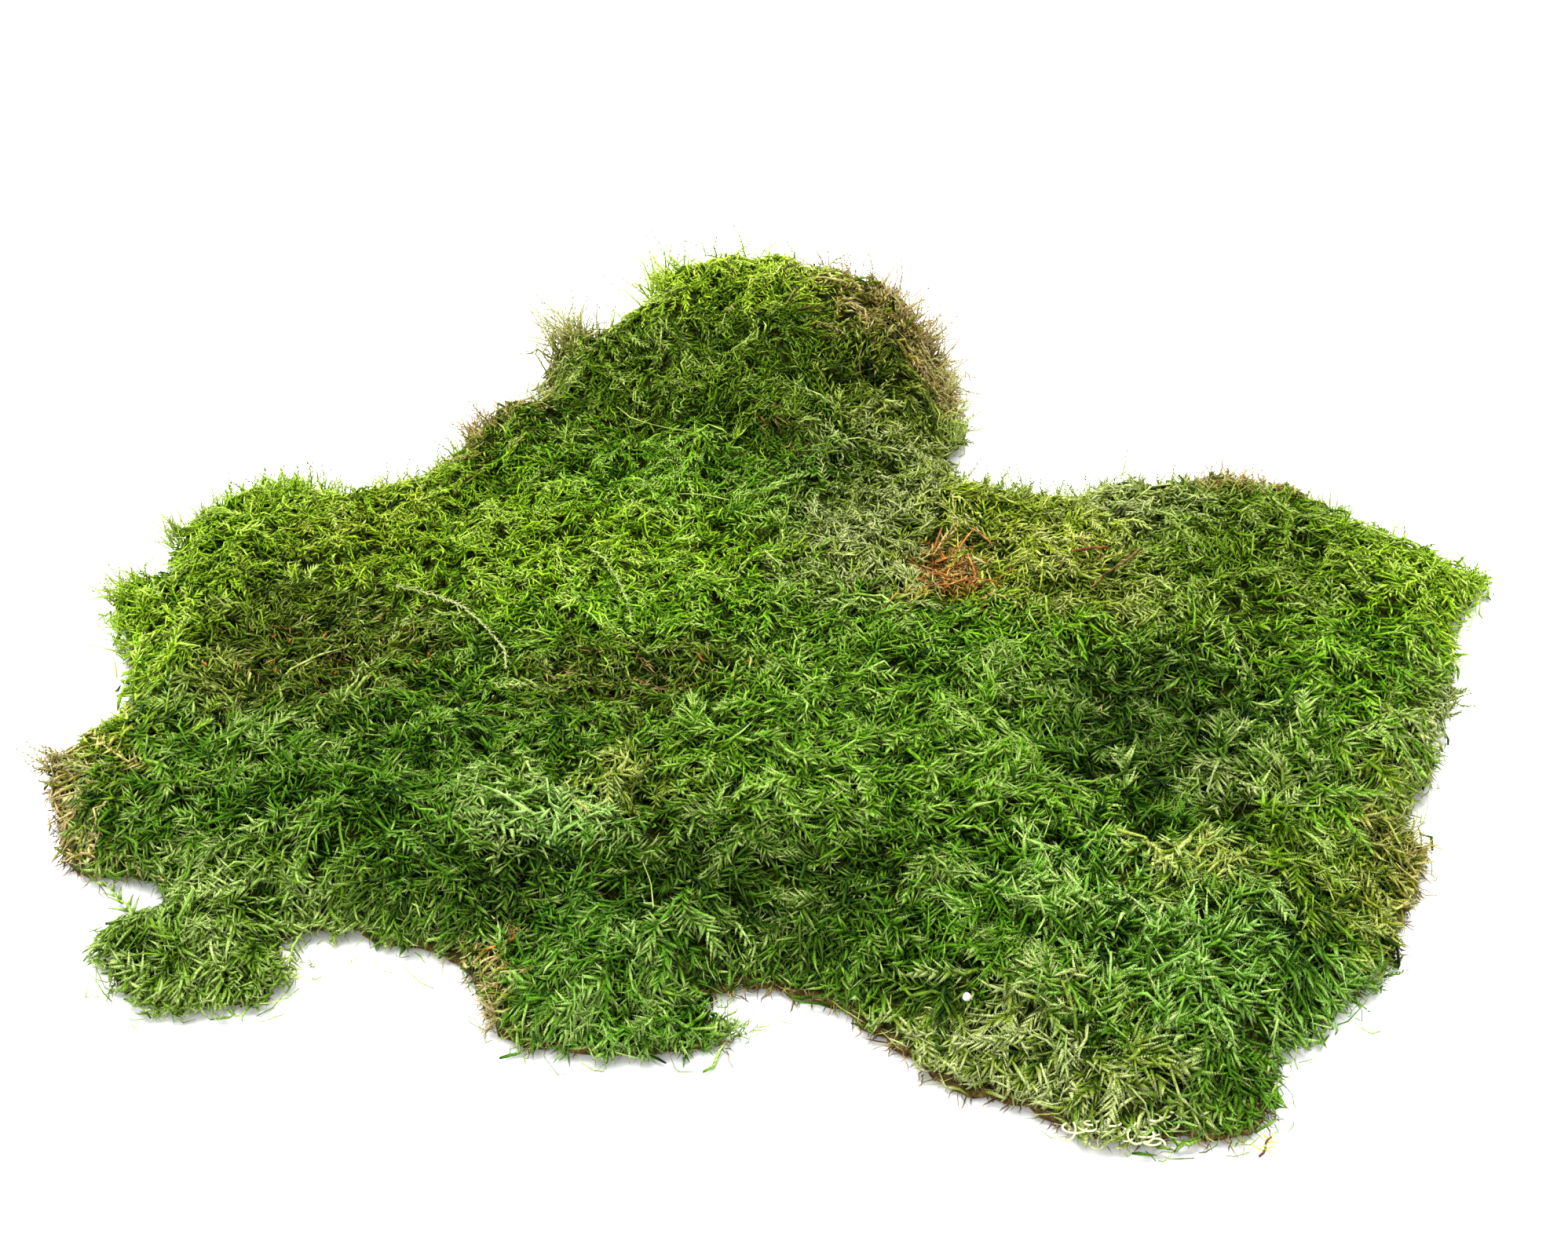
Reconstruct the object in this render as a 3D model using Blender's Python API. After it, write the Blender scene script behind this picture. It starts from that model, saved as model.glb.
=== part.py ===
"""A moss clump: a flat, irregular mat of feather moss lifted from the ground in one piece.

The living carpet lies on a thin brown layer of dead stems and humus, which is cut off flat.
Dry needles, a twig, a stick, a runner, thin strands, a grain and a seedling lie on it.

X runs along the mat, Y from its front to its back, and Z up. The origin is on the ground,
in the middle of the mat. Points of the plan are in millimetres, and become metres in a mesh.
"""

import math

import bpy
import numpy as np
from mathutils import Vector
from mathutils.bvhtree import BVHTree
from mathutils.geometry import delaunay_2d_cdt

MM = 0.001
RANDOM_SEED = 11

# The mat's edge seen from above, clockwise from its back left shoulder, in millimetres.
OUTLINE = (
    (-214, 82), (-204, 89), (-184, 92), (-164, 88), (-150, 92), (-138, 98), (-129, 109),
    (-120, 125), (-105, 135), (-96, 143), (-99, 156), (-94, 171), (-81, 175), (-72, 172),
    (-64, 177), (-57, 188), (-44, 196), (-28, 200), (-8, 202), (13, 200), (28, 196),
    (41, 190), (52, 179), (58, 163), (60, 145), (60, 124), (55, 107), (60, 94),
    (75, 91), (92, 88), (105, 87), (118, 93), (136, 96), (156, 98), (175, 93),
    (188, 83), (203, 70), (221, 57), (240, 44), (233, 33), (223, 19), (218, 4),
    (212, -18), (204, -35), (200, -51), (190, -61), (184, -70), (188, -83), (184, -94),
    (178, -104), (175, -114), (160, -131), (150, -145), (138, -150), (130, -162),
    (125, -178), (108, -182), (84, -183), (73, -180), (66, -173), (54, -169),
    (41, -163), (28, -153), (13, -140), (0, -133), (-12, -129), (-22, -131),
    (-29, -138), (-17, -146), (-23, -153), (-48, -157), (-67, -153), (-82, -149),
    (-89, -139), (-93, -126), (-106, -119), (-120, -117), (-134, -112), (-149, -110),
    (-149, -120), (-146, -131), (-158, -138), (-180, -140), (-195, -132), (-203, -118),
    (-200, -107), (-191, -106), (-184, -99), (-194, -92), (-208, -90), (-221, -86), (-226, -70),
    (-234, -54), (-235, -42), (-226, -34), (-218, -22), (-221, -5), (-227, 14),
    (-236, 28), (-230, 38), (-219, 43), (-220, 56), (-223, 67), (-214, 72),
)

# Heights of the carpet over the ground, in millimetres.
TURF_TOP = 16.0
RIM_TOP = 4.0
RIM_BOTTOM = 1.2
CARPET_BOTTOM = 5.0

# Hills and hollows of the carpet: (x, y, half width, half depth, rise), in millimetres.
LUMPS = (
    (-14, 176, 66, 74, 36), (36, 168, 24, 26, 4), (-90, 160, 9, 9, 20), (-62, 170, 26, 22, 11),
    (-110, 120, 26, 18, 9), (80, 28, 44, 30, 6), (165, 52, 46, 28, 3), (-110, 44, 60, 30, 3),
    (-190, 66, 30, 22, 3), (98, -112, 62, 42, 6), (-30, -68, 66, 28, 6), (-150, -62, 50, 24, 5),
    (-48, -134, 30, 18, 2), (-176, -122, 26, 20, -2), (-226, -60, 14, 22, -3), (54, 36, 13, 11, -8),
    (-156, -6, 32, 19, -4), (-50, -14, 38, 14, -3), (-85, -102, 16, 10, -5),
    (14, -99, 22, 13, -4), (102, -42, 20, 14, -4), (232, 46, 16, 14, -4), (176, -86, 12, 14, -4),
)

# How far from its edge the carpet takes to reach full height, at the back and at the front,
# and how much further for each millimetre that a hill stands over the turf.
BACK_SHOULDER = 14.0
FRONT_SHOULDER = 25.0
HILL_SHOULDER = 0.3
FRONT_FROM = -50.0
FRONT_OVER = 50.0

# The tufts stand on a lattice of triangles, one tuft to every third of its points.
TUFT_PITCH = 7.2
TUFT_JITTER = 0.26
TUFT_RISE = 5.0
TUFT_SINK = 1.2
TUFT_LEAN = 2.4
TUFT_CLEAR_OF_RIM = 4.2

# The tufts lean down the slope and to the front, with a slow swirl. The slope is read this far
# to each side, and the swirl has waves of these lengths over the mat.
SLOPE_PROBE = 3.0
LEAN_TO_FRONT = 1.1
SWIRL_SHARE = 0.9
SWIRL_TURN = 2.2
SWIRL_WAVE_X = 31.0
SWIRL_WAVE_Y = 43.0

# The edge is ragged: every other point stands out.
RIM_STEP = 5.6
RIM_OUT = 3.2
RIM_IN = 2.2
RIM_UNDERCUT = 3.4

# The humus under the carpet, and the stretches of edge where it shows: (x, y, reach).
HUMUS_TOP = 4.6
HUMUS_INSET = 8.0
HUMUS_INSET_SHOWING = 2.2
HUMUS_STEP = 8.0
HUMUS_ROUGH = 0.9
SHOWING = (
    (40, -163, 44), (-91, -138, 20), (-224, -74, 24), (200, -40, 30), (175, -104, 26),
    (-14, -129, 14),
)
UNDER_PITCH = 24.0
PLATEAU_MARGIN = 2.0
LIP_TO_RIM = 1.5

# Small pieces that lie on the carpet keep this gap to it, and the tufts near them are pressed
# flat. A stiff piece takes a share of the slope under it, and its clearance is tested this far out.
LYING_GAP = 0.35
BED_REACH = 6.5
STIFF_SLOPE_SHARE = 0.6
PROBE_OUT = 1.0

NEEDLE_WIDTH = 1.7
NEEDLE_THICKNESS = 0.8
# Dry needles in the hollow: (x, y, length, heading in degrees).
NEEDLES = (
    (54, 44, 13, 12), (58, 49, 12, 58), (51, 35, 12, -34), (60, 39, 11, 102),
    (55, 30, 13, 24), (62, 28, 12, -12), (49, 51, 10, 71), (64, 50, 10, -48), (47, 27, 12, 8),
)
NEEDLE_ENDS_WIDE = 0.3
NEEDLE_ENDS_HIGH = 0.4

TWIG_RADIUS = 0.9
TWIG_ROUTE = ((99, 22), (105, 30), (112, 36), (118, 43))
STICK_RADIUS = 0.7
STICK_ROUTE = ((94, 42), (100, 44), (107, 45))
STICK_ENDS = 0.6
RUNNER_RADIUS = 1.1
RUNNER_WIDE = 1.3
RUNNER_HIGH = 0.8
RUNNER_NOTCH = 0.7
RUNNER_ENDS = 0.35
RUNNER_ROUTE = ((-136, 27), (-126, 24), (-113, 18), (-103, 7), (-96, -3), (-95, -13))
STRAND_RADIUS = 0.3
STRAND_ARCH = 1.2
STRAND_ENDS = 0.6
STRAND_ROUTES = (
    ((-66, 117), (-60, 108), (-50, 103), (-38, 101)),
    ((16, 98), (23, 99), (30, 98)),
    ((-6, 51), (3, 53), (12, 51)),
    ((-44, 73), (-34, 71), (-24, 69)),
    ((-46, -98), (-43, -107), (-42, -115)),
)

GRAIN_PLACE = (46, -146)
GRAIN_RADIUS = 1.7
GRAIN_PROBE_OUT = 1.5

SEEDLING_FOOT = (121, -187)
SEEDLING_LIFT = 0.4
SEEDLING_HEIGHT = 9.0
SEEDLING_LEAN = (1.5, 0.6)
SEEDLING_STEM_RADIUS = 0.5
SEEDLING_STEM_TAPER = 0.35
# Leaves of the seedling: (height on the stem, heading in degrees, climb in degrees, length).
SEEDLING_LEAVES = ((5.4, 10, 18, 7.0), (6.6, 150, 30, 4.5), (7.4, 62, 42, 5.5), (8.2, -38, 24, 6.5))
SEEDLING_LEAF_WIDTH = 1.8
SEEDLING_LEAF_HALF_THICKNESS = 0.22
SEEDLING_LEAF_DROOP = 1.6
SEEDLING_LEAF_ENDS = 0.2
STATIONS = 6

rng = np.random.default_rng(RANDOM_SEED)


def clear_scene():
    for old in list(bpy.data.objects):
        bpy.data.objects.remove(old, do_unlink=True)


def finish(name, colour, roughness):
    """A Principled material in one colour."""
    made = bpy.data.materials.new(name)
    made.use_nodes = True
    shader = made.node_tree.nodes["Principled BSDF"]
    shader.inputs["Base Color"].default_value = (*colour, 1.0)
    shader.inputs["Roughness"].default_value = roughness
    shader.inputs["Metallic"].default_value = 0.0
    return made


def add_piece(name, points, faces, material, smooth=False):
    """One closed mesh object from points in millimetres, its faces turned outwards."""
    mesh = bpy.data.meshes.new(name)
    mesh.from_pydata((np.asarray(points) * MM).tolist(), [], [list(map(int, f)) for f in faces])
    mesh.validate()
    mesh.materials.append(material)
    made = bpy.data.objects.new(name, mesh)
    bpy.context.scene.collection.objects.link(made)
    turned_outwards(mesh)
    if smooth:
        mesh.shade_smooth()
    return made


def turned_outwards(mesh):
    """Flips all faces where the mesh's signed volume is below zero."""
    mesh.calc_loop_triangles()
    corners = np.array([t.vertices[:] for t in mesh.loop_triangles])
    places = np.array([v.co[:] for v in mesh.vertices])
    if np.linalg.det(places[corners]).sum() < 0:
        mesh.flip_normals()


# The edge of the mat


def read_evenly(loop, step):
    """Points about a step apart along a closed line."""
    closed = np.vstack([loop, loop[:1]])
    along = np.concatenate([[0.0], np.cumsum(np.linalg.norm(np.diff(closed, axis=0), axis=1))])
    count = int(round(along[-1] / step))
    places = np.arange(count) * along[-1] / count
    return np.column_stack([np.interp(places, along, closed[:, axis]) for axis in range(2)])


def smooth_loop(points, step, samples=16):
    """A closed Catmull-Rom curve through the points, read at even steps."""
    here = np.asarray(points, float)[:, None, :]
    before, after, beyond = np.roll(here, 1, 0), np.roll(here, -1, 0), np.roll(here, -2, 0)
    t = (np.arange(samples) / samples)[None, :, None]
    curve = 0.5 * (
        2 * here
        + (after - before) * t
        + (2 * before - 5 * here + 4 * after - beyond) * t**2
        + (3 * here - 3 * after + beyond - before) * t**3
    )
    return read_evenly(curve.reshape(-1, 2), step)


def outward(loop):
    """The outward unit normals of a clockwise loop."""
    along = np.roll(loop, -1, 0) - np.roll(loop, 1, 0)
    along /= np.linalg.norm(along, axis=1, keepdims=True)
    return np.column_stack([-along[:, 1], along[:, 0]])


def edge_distance(places, loop):
    """How far each place is from the nearest point of a closed line."""
    start = loop[None, :, :]
    run = np.roll(loop, -1, 0)[None, :, :] - start
    offset = places[:, None, :] - start
    share = np.clip((offset * run).sum(2) / (run * run).sum(2), 0, 1)
    return np.linalg.norm(offset - share[:, :, None] * run, axis=2).min(1)


def is_inside(places, loop):
    """True for places inside a closed line, by counting crossings to the right."""
    x, y = places[:, None, 0], places[:, None, 1]
    x1, y1 = loop[None, :, 0], loop[None, :, 1]
    x2, y2 = np.roll(loop, -1, 0)[None, :, 0], np.roll(loop, -1, 0)[None, :, 1]
    spans = (y1 > y) != (y2 > y)
    rise = np.where(y2 == y1, 1.0, y2 - y1)
    return (spans & (x < (x2 - x1) * (y - y1) / rise + x1)).sum(1) % 2 == 1


def inset_loop(loop, depth, step, rough=0.0):
    """The loop moved inwards by a depth at each point, without the parts that would cross."""
    moved = loop - outward(loop) * depth[:, None]
    kept = moved[is_inside(moved, loop) & (edge_distance(moved, loop) > 0.93 * depth)]
    made = read_evenly(kept, step)
    return made - outward(made) * (rough * rng.random(len(made)))[:, None]


def lattice(loop, pitch, jitter, margin):
    """Jittered triangular lattice inside a loop, and which of its points are tufts."""
    low, high = loop.min(0), loop.max(0)
    row_height = pitch * math.sqrt(3) / 2
    rows = np.arange(int((high[1] - low[1]) / row_height) + 1)
    columns = np.arange(-1, int((high[0] - low[0]) / pitch) + 1)
    column, row = np.meshgrid(columns, rows)
    x = low[0] + (column + 0.5 * (row % 2)) * pitch
    y = low[1] + row * row_height
    tuft = (column - row // 2 - row) % 3 == 0
    places = np.column_stack([x.ravel(), y.ravel()])
    places += rng.uniform(-jitter, jitter, places.shape) * pitch
    kept = is_inside(places, loop)
    kept[kept] = edge_distance(places[kept], loop) > margin
    return places[kept], tuft.ravel()[kept]


def plan_triangles(points, loops):
    """Delaunay triangles of the plan inside the first of the loops, which are lists of indices."""
    edges = [(a, b) for loop in loops for a, b in zip(loop, loop[1:] + loop[:1])]
    made = delaunay_2d_cdt([Vector(p) for p in points], edges, [], 1, 1e-5)
    source = [which[0] for which in made[3]]
    corners = np.array([[source[i] for i in face] for face in made[2]])
    a, b, c = (np.asarray(points)[corners[:, k]] for k in range(3))
    turn = (b[:, 0] - a[:, 0]) * (c[:, 1] - a[:, 1]) - (b[:, 1] - a[:, 1]) * (c[:, 0] - a[:, 0])
    corners[turn < 0] = corners[turn < 0][:, ::-1]
    return corners


# The height of the carpet


def carpet_height(places, loop):
    """Turf height with its hills and hollows, which falls off in a rounded shoulder at the edge."""
    x, y = places.T
    full = np.full(len(places), TURF_TOP)
    for across, back, wide, deep, rise in LUMPS:
        full += rise * np.exp(-(((x - across) / wide) ** 2) - ((y - back) / deep) ** 2)
    frontness = np.clip((FRONT_FROM - y) / FRONT_OVER, 0, 1)
    shoulder = BACK_SHOULDER + (FRONT_SHOULDER - BACK_SHOULDER) * frontness
    shoulder += HILL_SHOULDER * np.maximum(full - TURF_TOP, 0)
    reach = np.clip(edge_distance(places, loop) / shoulder, 0, 1)
    return RIM_TOP + (full - RIM_TOP) * (1 - (1 - reach) ** 2)


def lean_of(places, loop):
    """The way the fronds lean: down the slope, with a slow swirl."""
    across, deep = np.array((SLOPE_PROBE, 0)), np.array((0, SLOPE_PROBE))
    right = carpet_height(places + across, loop) - carpet_height(places - across, loop)
    back = carpet_height(places + deep, loop) - carpet_height(places - deep, loop)
    wave = np.sin(places[:, 0] / SWIRL_WAVE_X + 2 * np.sin(places[:, 1] / SWIRL_WAVE_Y))
    turn_x = SWIRL_SHARE * np.cos(SWIRL_TURN * wave)
    turn_y = SWIRL_SHARE * np.sin(SWIRL_TURN * wave)
    heading = np.column_stack([turn_x - right, turn_y - back - LEAN_TO_FRONT])
    return heading / np.linalg.norm(heading, axis=1, keepdims=True)


def shows_humus(loop):
    """From 0 to 1 along the loop: 1 where the humus comes out to the edge."""
    found = np.zeros(len(loop))
    for x, y, reach in SHOWING:
        away = np.linalg.norm(loop - (x, y), axis=1)
        found = np.maximum(found, np.clip(1.5 - away / reach, 0, 1))
    return found


def needle_ends(x, y, length, heading):
    """Both ends of a needle in plan."""
    way = np.array([math.cos(math.radians(heading)), math.sin(math.radians(heading))])
    return np.array((x, y)) - way * length / 2, np.array((x, y)) + way * length / 2


def is_pressed(places):
    """True for places so close to a lying piece that the moss is pressed flat there."""
    grain_ends = (np.array(GRAIN_PLACE) - (GRAIN_RADIUS, 0), np.array(GRAIN_PLACE) + (GRAIN_RADIUS, 0))
    plans = [needle_ends(*needle) for needle in NEEDLES]
    plans += [TWIG_ROUTE, STICK_ROUTE, RUNNER_ROUTE, *STRAND_ROUTES, grain_ends]
    found = np.zeros(len(places), bool)
    for plan in plans:
        there = np.asarray(plan, float)
        there_and_back = np.vstack([there, there[-2:0:-1]])
        found |= edge_distance(places, there_and_back) < BED_REACH
    return found


def build_carpet(edge, material):
    """The living moss: a tufted top, a ragged rim and an underside that bridges the humus."""
    count = len(edge)
    sides = outward(edge)
    push = np.where(np.arange(count) % 2 == 0, RIM_OUT, -RIM_IN) * rng.uniform(0.2, 1.0, count)
    rim = edge + sides * push[:, None]
    lip = RIM_BOTTOM + (CARPET_BOTTOM - RIM_BOTTOM) * np.clip(3 * shows_humus(edge), 0, 1)
    rim_height = np.maximum(RIM_TOP * rng.uniform(0.7, 1.5, count), lip + LIP_TO_RIM)
    inner, tuft = lattice(edge, TUFT_PITCH, TUFT_JITTER, TUFT_CLEAR_OF_RIM)
    tuft &= ~is_pressed(inner)
    height = carpet_height(inner, edge)
    near_edge = np.clip(edge_distance(inner, edge) / BACK_SHOULDER, 0.3, 1)
    rise = TUFT_RISE * rng.uniform(0.6, 1.3, len(inner)) * near_edge
    height += np.where(tuft, rise, -TUFT_SINK * near_edge)
    inner = inner + lean_of(inner, edge) * (TUFT_LEAN * near_edge * tuft)[:, None]
    top_plan = np.vstack([rim, inner])
    top_faces = plan_triangles(top_plan, [list(range(count))])
    top = np.column_stack([top_plan, np.concatenate([rim_height, height])])

    low_rim = edge - sides * RIM_UNDERCUT
    plateau = inset_loop(edge, np.full(count, HUMUS_INSET - PLATEAU_MARGIN), HUMUS_STEP)
    under, _ = lattice(plateau, UNDER_PITCH, TUFT_JITTER, UNDER_PITCH / 3)
    low_plan = np.vstack([low_rim, plateau, under])
    ring = list(range(count))
    low_faces = plan_triangles(low_plan, [ring, list(range(count, count + len(plateau)))])
    low_height = np.full(len(low_plan), CARPET_BOTTOM)
    low_height[:count] = lip
    low = np.column_stack([low_plan, low_height])

    points = np.vstack([top, low])
    first_low = len(top)
    wall = [(k, (k + 1) % count, first_low + (k + 1) % count, first_low + k) for k in ring]
    faces = top_faces.tolist() + (low_faces[:, ::-1] + first_low).tolist() + wall
    return add_piece("moss_carpet", points, faces, material)


def build_humus(edge, material):
    """The brown under-layer: a rough-edged slab with a flat underside."""
    showing = np.clip(3 * shows_humus(edge) - 2, 0, 1)
    depth = HUMUS_INSET + (HUMUS_INSET_SHOWING - HUMUS_INSET) * showing
    rim = inset_loop(edge, depth, HUMUS_STEP, HUMUS_ROUGH)
    count = len(rim)
    inner, _ = lattice(rim, UNDER_PITCH, TUFT_JITTER, UNDER_PITCH / 3)
    plan = np.vstack([rim, inner])
    faces = plan_triangles(plan, [list(range(count))])
    top_height = HUMUS_TOP - HUMUS_ROUGH * rng.random(len(plan))
    top = np.column_stack([plan, top_height])
    low = np.column_stack([plan, np.zeros(len(plan))])
    wall = [(k, (k + 1) % count, len(plan) + (k + 1) % count, len(plan) + k) for k in range(count)]
    every = faces.tolist() + (faces[:, ::-1] + len(plan)).tolist() + wall
    return add_piece("humus_base", np.vstack([top, low]), every, material)


# The small pieces that lie on the carpet


class Ground:
    """What a small piece can lie on: the carpet, and the pieces that already lie there."""

    def __init__(self, carpet):
        self.trees = []
        self.take(carpet)

    def take(self, piece):
        points = [piece.matrix_world @ v.co for v in piece.data.vertices]
        self.trees.append(BVHTree.FromPolygons(points, [p.vertices for p in piece.data.polygons]))

    def height(self, x, y, start=200.0):
        """The height of the highest thing at a place of the plan."""
        above = Vector((x * MM, y * MM, start * MM))
        hits = [tree.ray_cast(above, Vector((0, 0, -1)))[0] for tree in self.trees]
        return max([hit.z / MM for hit in hits if hit] + [RIM_BOTTOM])

    def height_around(self, x, y, out):
        """The height of the highest thing at nine places round a place of the plan."""
        steps = (-out, 0, out)
        return max(self.height(x + dx, y + dy) for dx in steps for dy in steps)


def lying_route(plan, ground, radius, stations, stiff):
    """A route over the carpet that clears it: straight where stiff, else it follows the tufts."""
    control = np.asarray(plan, float)
    along = np.concatenate([[0], np.cumsum(np.linalg.norm(np.diff(control, axis=0), axis=1))])
    places = np.linspace(0, along[-1], stations)
    x, y = (np.interp(places, along, control[:, axis]) for axis in range(2))
    floor = np.array([ground.height_around(a, b, PROBE_OUT) for a, b in zip(x, y)])
    needed = floor + radius + LYING_GAP
    if stiff:
        slope = (needed[-1] - needed[0]) * STIFF_SLOPE_SHARE
        line = slope * np.linspace(-0.5, 0.5, stations)
        z = line + (needed - line).max()
    else:
        reach = np.maximum(needed, np.maximum(np.roll(needed, 1), np.roll(needed, -1)))
        z = np.maximum(reach, (np.roll(reach, 1) + reach + np.roll(reach, -1)) / 3)
        z[[0, -1]] = reach[[0, -1]]
    return np.column_stack([x, y, z])


def tube(route, wide, high, sides):
    """A closed tube along a route, with its half width and half height at each station."""
    run = np.gradient(route, axis=0)
    run /= np.linalg.norm(run, axis=1, keepdims=True)
    across = np.cross(run, (0.0, 0.0, 1.0))
    across /= np.linalg.norm(across, axis=1, keepdims=True)
    over = np.cross(across, run)
    turn = np.arange(sides) / sides * 2 * math.pi
    ring = (
        np.cos(turn)[None, :, None] * (across * wide[:, None])[:, None, :]
        + np.sin(turn)[None, :, None] * (over * high[:, None])[:, None, :]
    )
    points = (route[:, None, :] + ring).reshape(-1, 3)
    faces = []
    for station in range(len(route) - 1):
        for side in range(sides):
            a = station * sides + side
            b = station * sides + (side + 1) % sides
            faces.append((a, b, b + sides, a + sides))
    faces.append(tuple(range(sides))[::-1])
    faces.append(tuple(range(len(points) - sides, len(points))))
    return points, faces


def tapered(count, thickest, ends):
    """Half thicknesses along a piece: thickest in the middle, a share of that at the ends."""
    return thickest * (ends + (1 - ends) * np.sin(np.linspace(0, math.pi, count)) ** 0.5)


def build_needles(ground, material):
    for number, needle in enumerate(NEEDLES, start=1):
        route = lying_route(needle_ends(*needle), ground, NEEDLE_THICKNESS / 2, STATIONS, stiff=True)
        wide = tapered(len(route), NEEDLE_WIDTH / 2, NEEDLE_ENDS_WIDE)
        high = tapered(len(route), NEEDLE_THICKNESS / 2, NEEDLE_ENDS_HIGH)
        ground.take(add_piece(f"needle_{number:02d}", *tube(route, wide, high, 4), material))


def build_sticks(ground, bark, red):
    for name, plan, radius, material in (
        ("brown_twig", TWIG_ROUTE, TWIG_RADIUS, bark),
        ("red_stick", STICK_ROUTE, STICK_RADIUS, red),
    ):
        route = lying_route(plan, ground, radius, 7, stiff=True)
        thick = tapered(len(route), radius, STICK_ENDS)
        ground.take(add_piece(name, *tube(route, thick, thick, 6), material, smooth=True))


def build_runner(ground, material):
    route = lying_route(RUNNER_ROUTE, ground, RUNNER_RADIUS, 22, stiff=False)
    thick = tapered(len(route), RUNNER_RADIUS, RUNNER_ENDS)
    thick *= np.where(np.arange(len(route)) % 2 == 0, 1.0, RUNNER_NOTCH)
    run = tube(route, thick * RUNNER_WIDE, thick * RUNNER_HIGH, 5)
    ground.take(add_piece("pale_runner", *run, material))


def build_strands(ground, material):
    for number, plan in enumerate(STRAND_ROUTES, start=1):
        route = lying_route(plan, ground, STRAND_RADIUS, 8, stiff=True)
        route[:, 2] += STRAND_ARCH * np.sin(np.linspace(0, math.pi, len(route)))
        thick = tapered(len(route), STRAND_RADIUS, STRAND_ENDS)
        add_piece(f"grass_strand_{number:02d}", *tube(route, thick, thick, 4), material)


def build_grain(ground, material):
    x, y = GRAIN_PLACE
    lowest = ground.height_around(x, y, GRAIN_PROBE_OUT) + LYING_GAP
    bpy.ops.mesh.primitive_ico_sphere_add(subdivisions=2, radius=GRAIN_RADIUS * MM)
    grain = bpy.context.object
    grain.name = "white_grain"
    grain.location = (x * MM, y * MM, (lowest + GRAIN_RADIUS) * MM)
    grain.data.materials.append(material)
    grain.data.shade_smooth()


def tube_upright(route, thick, sides):
    """A closed tube whose rings stay level, for a stem that stands up."""
    turn = np.arange(sides) / sides * 2 * math.pi
    circle = np.column_stack([np.cos(turn), np.sin(turn), np.zeros(sides)])
    points = (route[:, None, :] + circle[None] * thick[:, None, None]).reshape(-1, 3)
    faces = [
        (s * sides + k, s * sides + (k + 1) % sides, (s + 1) * sides + (k + 1) % sides, (s + 1) * sides + k)
        for s in range(len(route) - 1)
        for k in range(sides)
    ]
    faces.append(tuple(range(sides))[::-1])
    faces.append(tuple(range(len(points) - sides, len(points))))
    return points, faces


def build_seedling(material):
    """A stem with four leaves, joined into one body by unions."""
    foot = np.array((*SEEDLING_FOOT, SEEDLING_LIFT))
    lean_x, lean_y = SEEDLING_LEAN
    rise = np.linspace(0, 1, STATIONS)
    stem_route = foot + np.column_stack([lean_x * rise**2, lean_y * rise, SEEDLING_HEIGHT * rise])
    thick = SEEDLING_STEM_RADIUS * (1 - SEEDLING_STEM_TAPER * rise)
    run = tube_upright(stem_route, thick, 6)
    stem = add_piece("corner_seedling", *run, material)
    for number, (up, heading, climb, length) in enumerate(SEEDLING_LEAVES):
        share_up = up / SEEDLING_HEIGHT
        start = foot + (lean_x * share_up**2, lean_y * share_up, up)
        level = length * math.cos(math.radians(climb))
        way = np.array([math.cos(math.radians(heading)), math.sin(math.radians(heading))])
        share = np.linspace(0, 1, STATIONS)
        lift = length * math.sin(math.radians(climb)) * share - SEEDLING_LEAF_DROOP * share**2
        route = start + np.column_stack([level * share * way[0], level * share * way[1], lift])
        wide = tapered(len(route), SEEDLING_LEAF_WIDTH / 2, SEEDLING_LEAF_ENDS)
        thin = np.full(STATIONS, SEEDLING_LEAF_HALF_THICKNESS)
        leaf = add_piece(f"leaf_{number}", *tube(route, wide, thin, 4), material)
        leaf.hide_render = True
        leaf.display_type = "WIRE"
        union = stem.modifiers.new(leaf.name, "BOOLEAN")
        union.operation = "UNION"
        union.object = leaf


clear_scene()
edge_loop = smooth_loop(OUTLINE, RIM_STEP)
carpet_piece = build_carpet(edge_loop, finish("living_moss", (0.13, 0.24, 0.03), 0.85))
build_humus(edge_loop, finish("humus", (0.10, 0.06, 0.03), 0.95))
ground_here = Ground(carpet_piece)
build_needles(ground_here, finish("dry_needle", (0.45, 0.11, 0.02), 0.6))
bark_finish = finish("bark", (0.14, 0.07, 0.03), 0.8)
build_sticks(ground_here, bark_finish, finish("red_bark", (0.30, 0.07, 0.04), 0.7))
build_runner(ground_here, finish("pale_moss", (0.42, 0.52, 0.20), 0.8))
build_strands(ground_here, finish("dry_grass", (0.55, 0.50, 0.24), 0.7))
build_grain(ground_here, finish("pale_shell", (0.85, 0.85, 0.80), 0.5))
build_seedling(finish("seedling_green", (0.25, 0.35, 0.06), 0.7))
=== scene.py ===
# %% [markdown]
# A clump of feather moss, lifted from the forest floor in one flat, ragged mat.
# On the real object thousands of leafy shoots lie over each other on a brown layer of dead
# stems. It could be grown with hair particles, but those vanish in an export, so every shoot
# here is a real mesh, worked out for thousands of shoots at once with numpy.

# %% Load the solids
import math
import bpy
import numpy as np
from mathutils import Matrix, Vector
from mathutils.bvhtree import BVHTree


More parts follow.
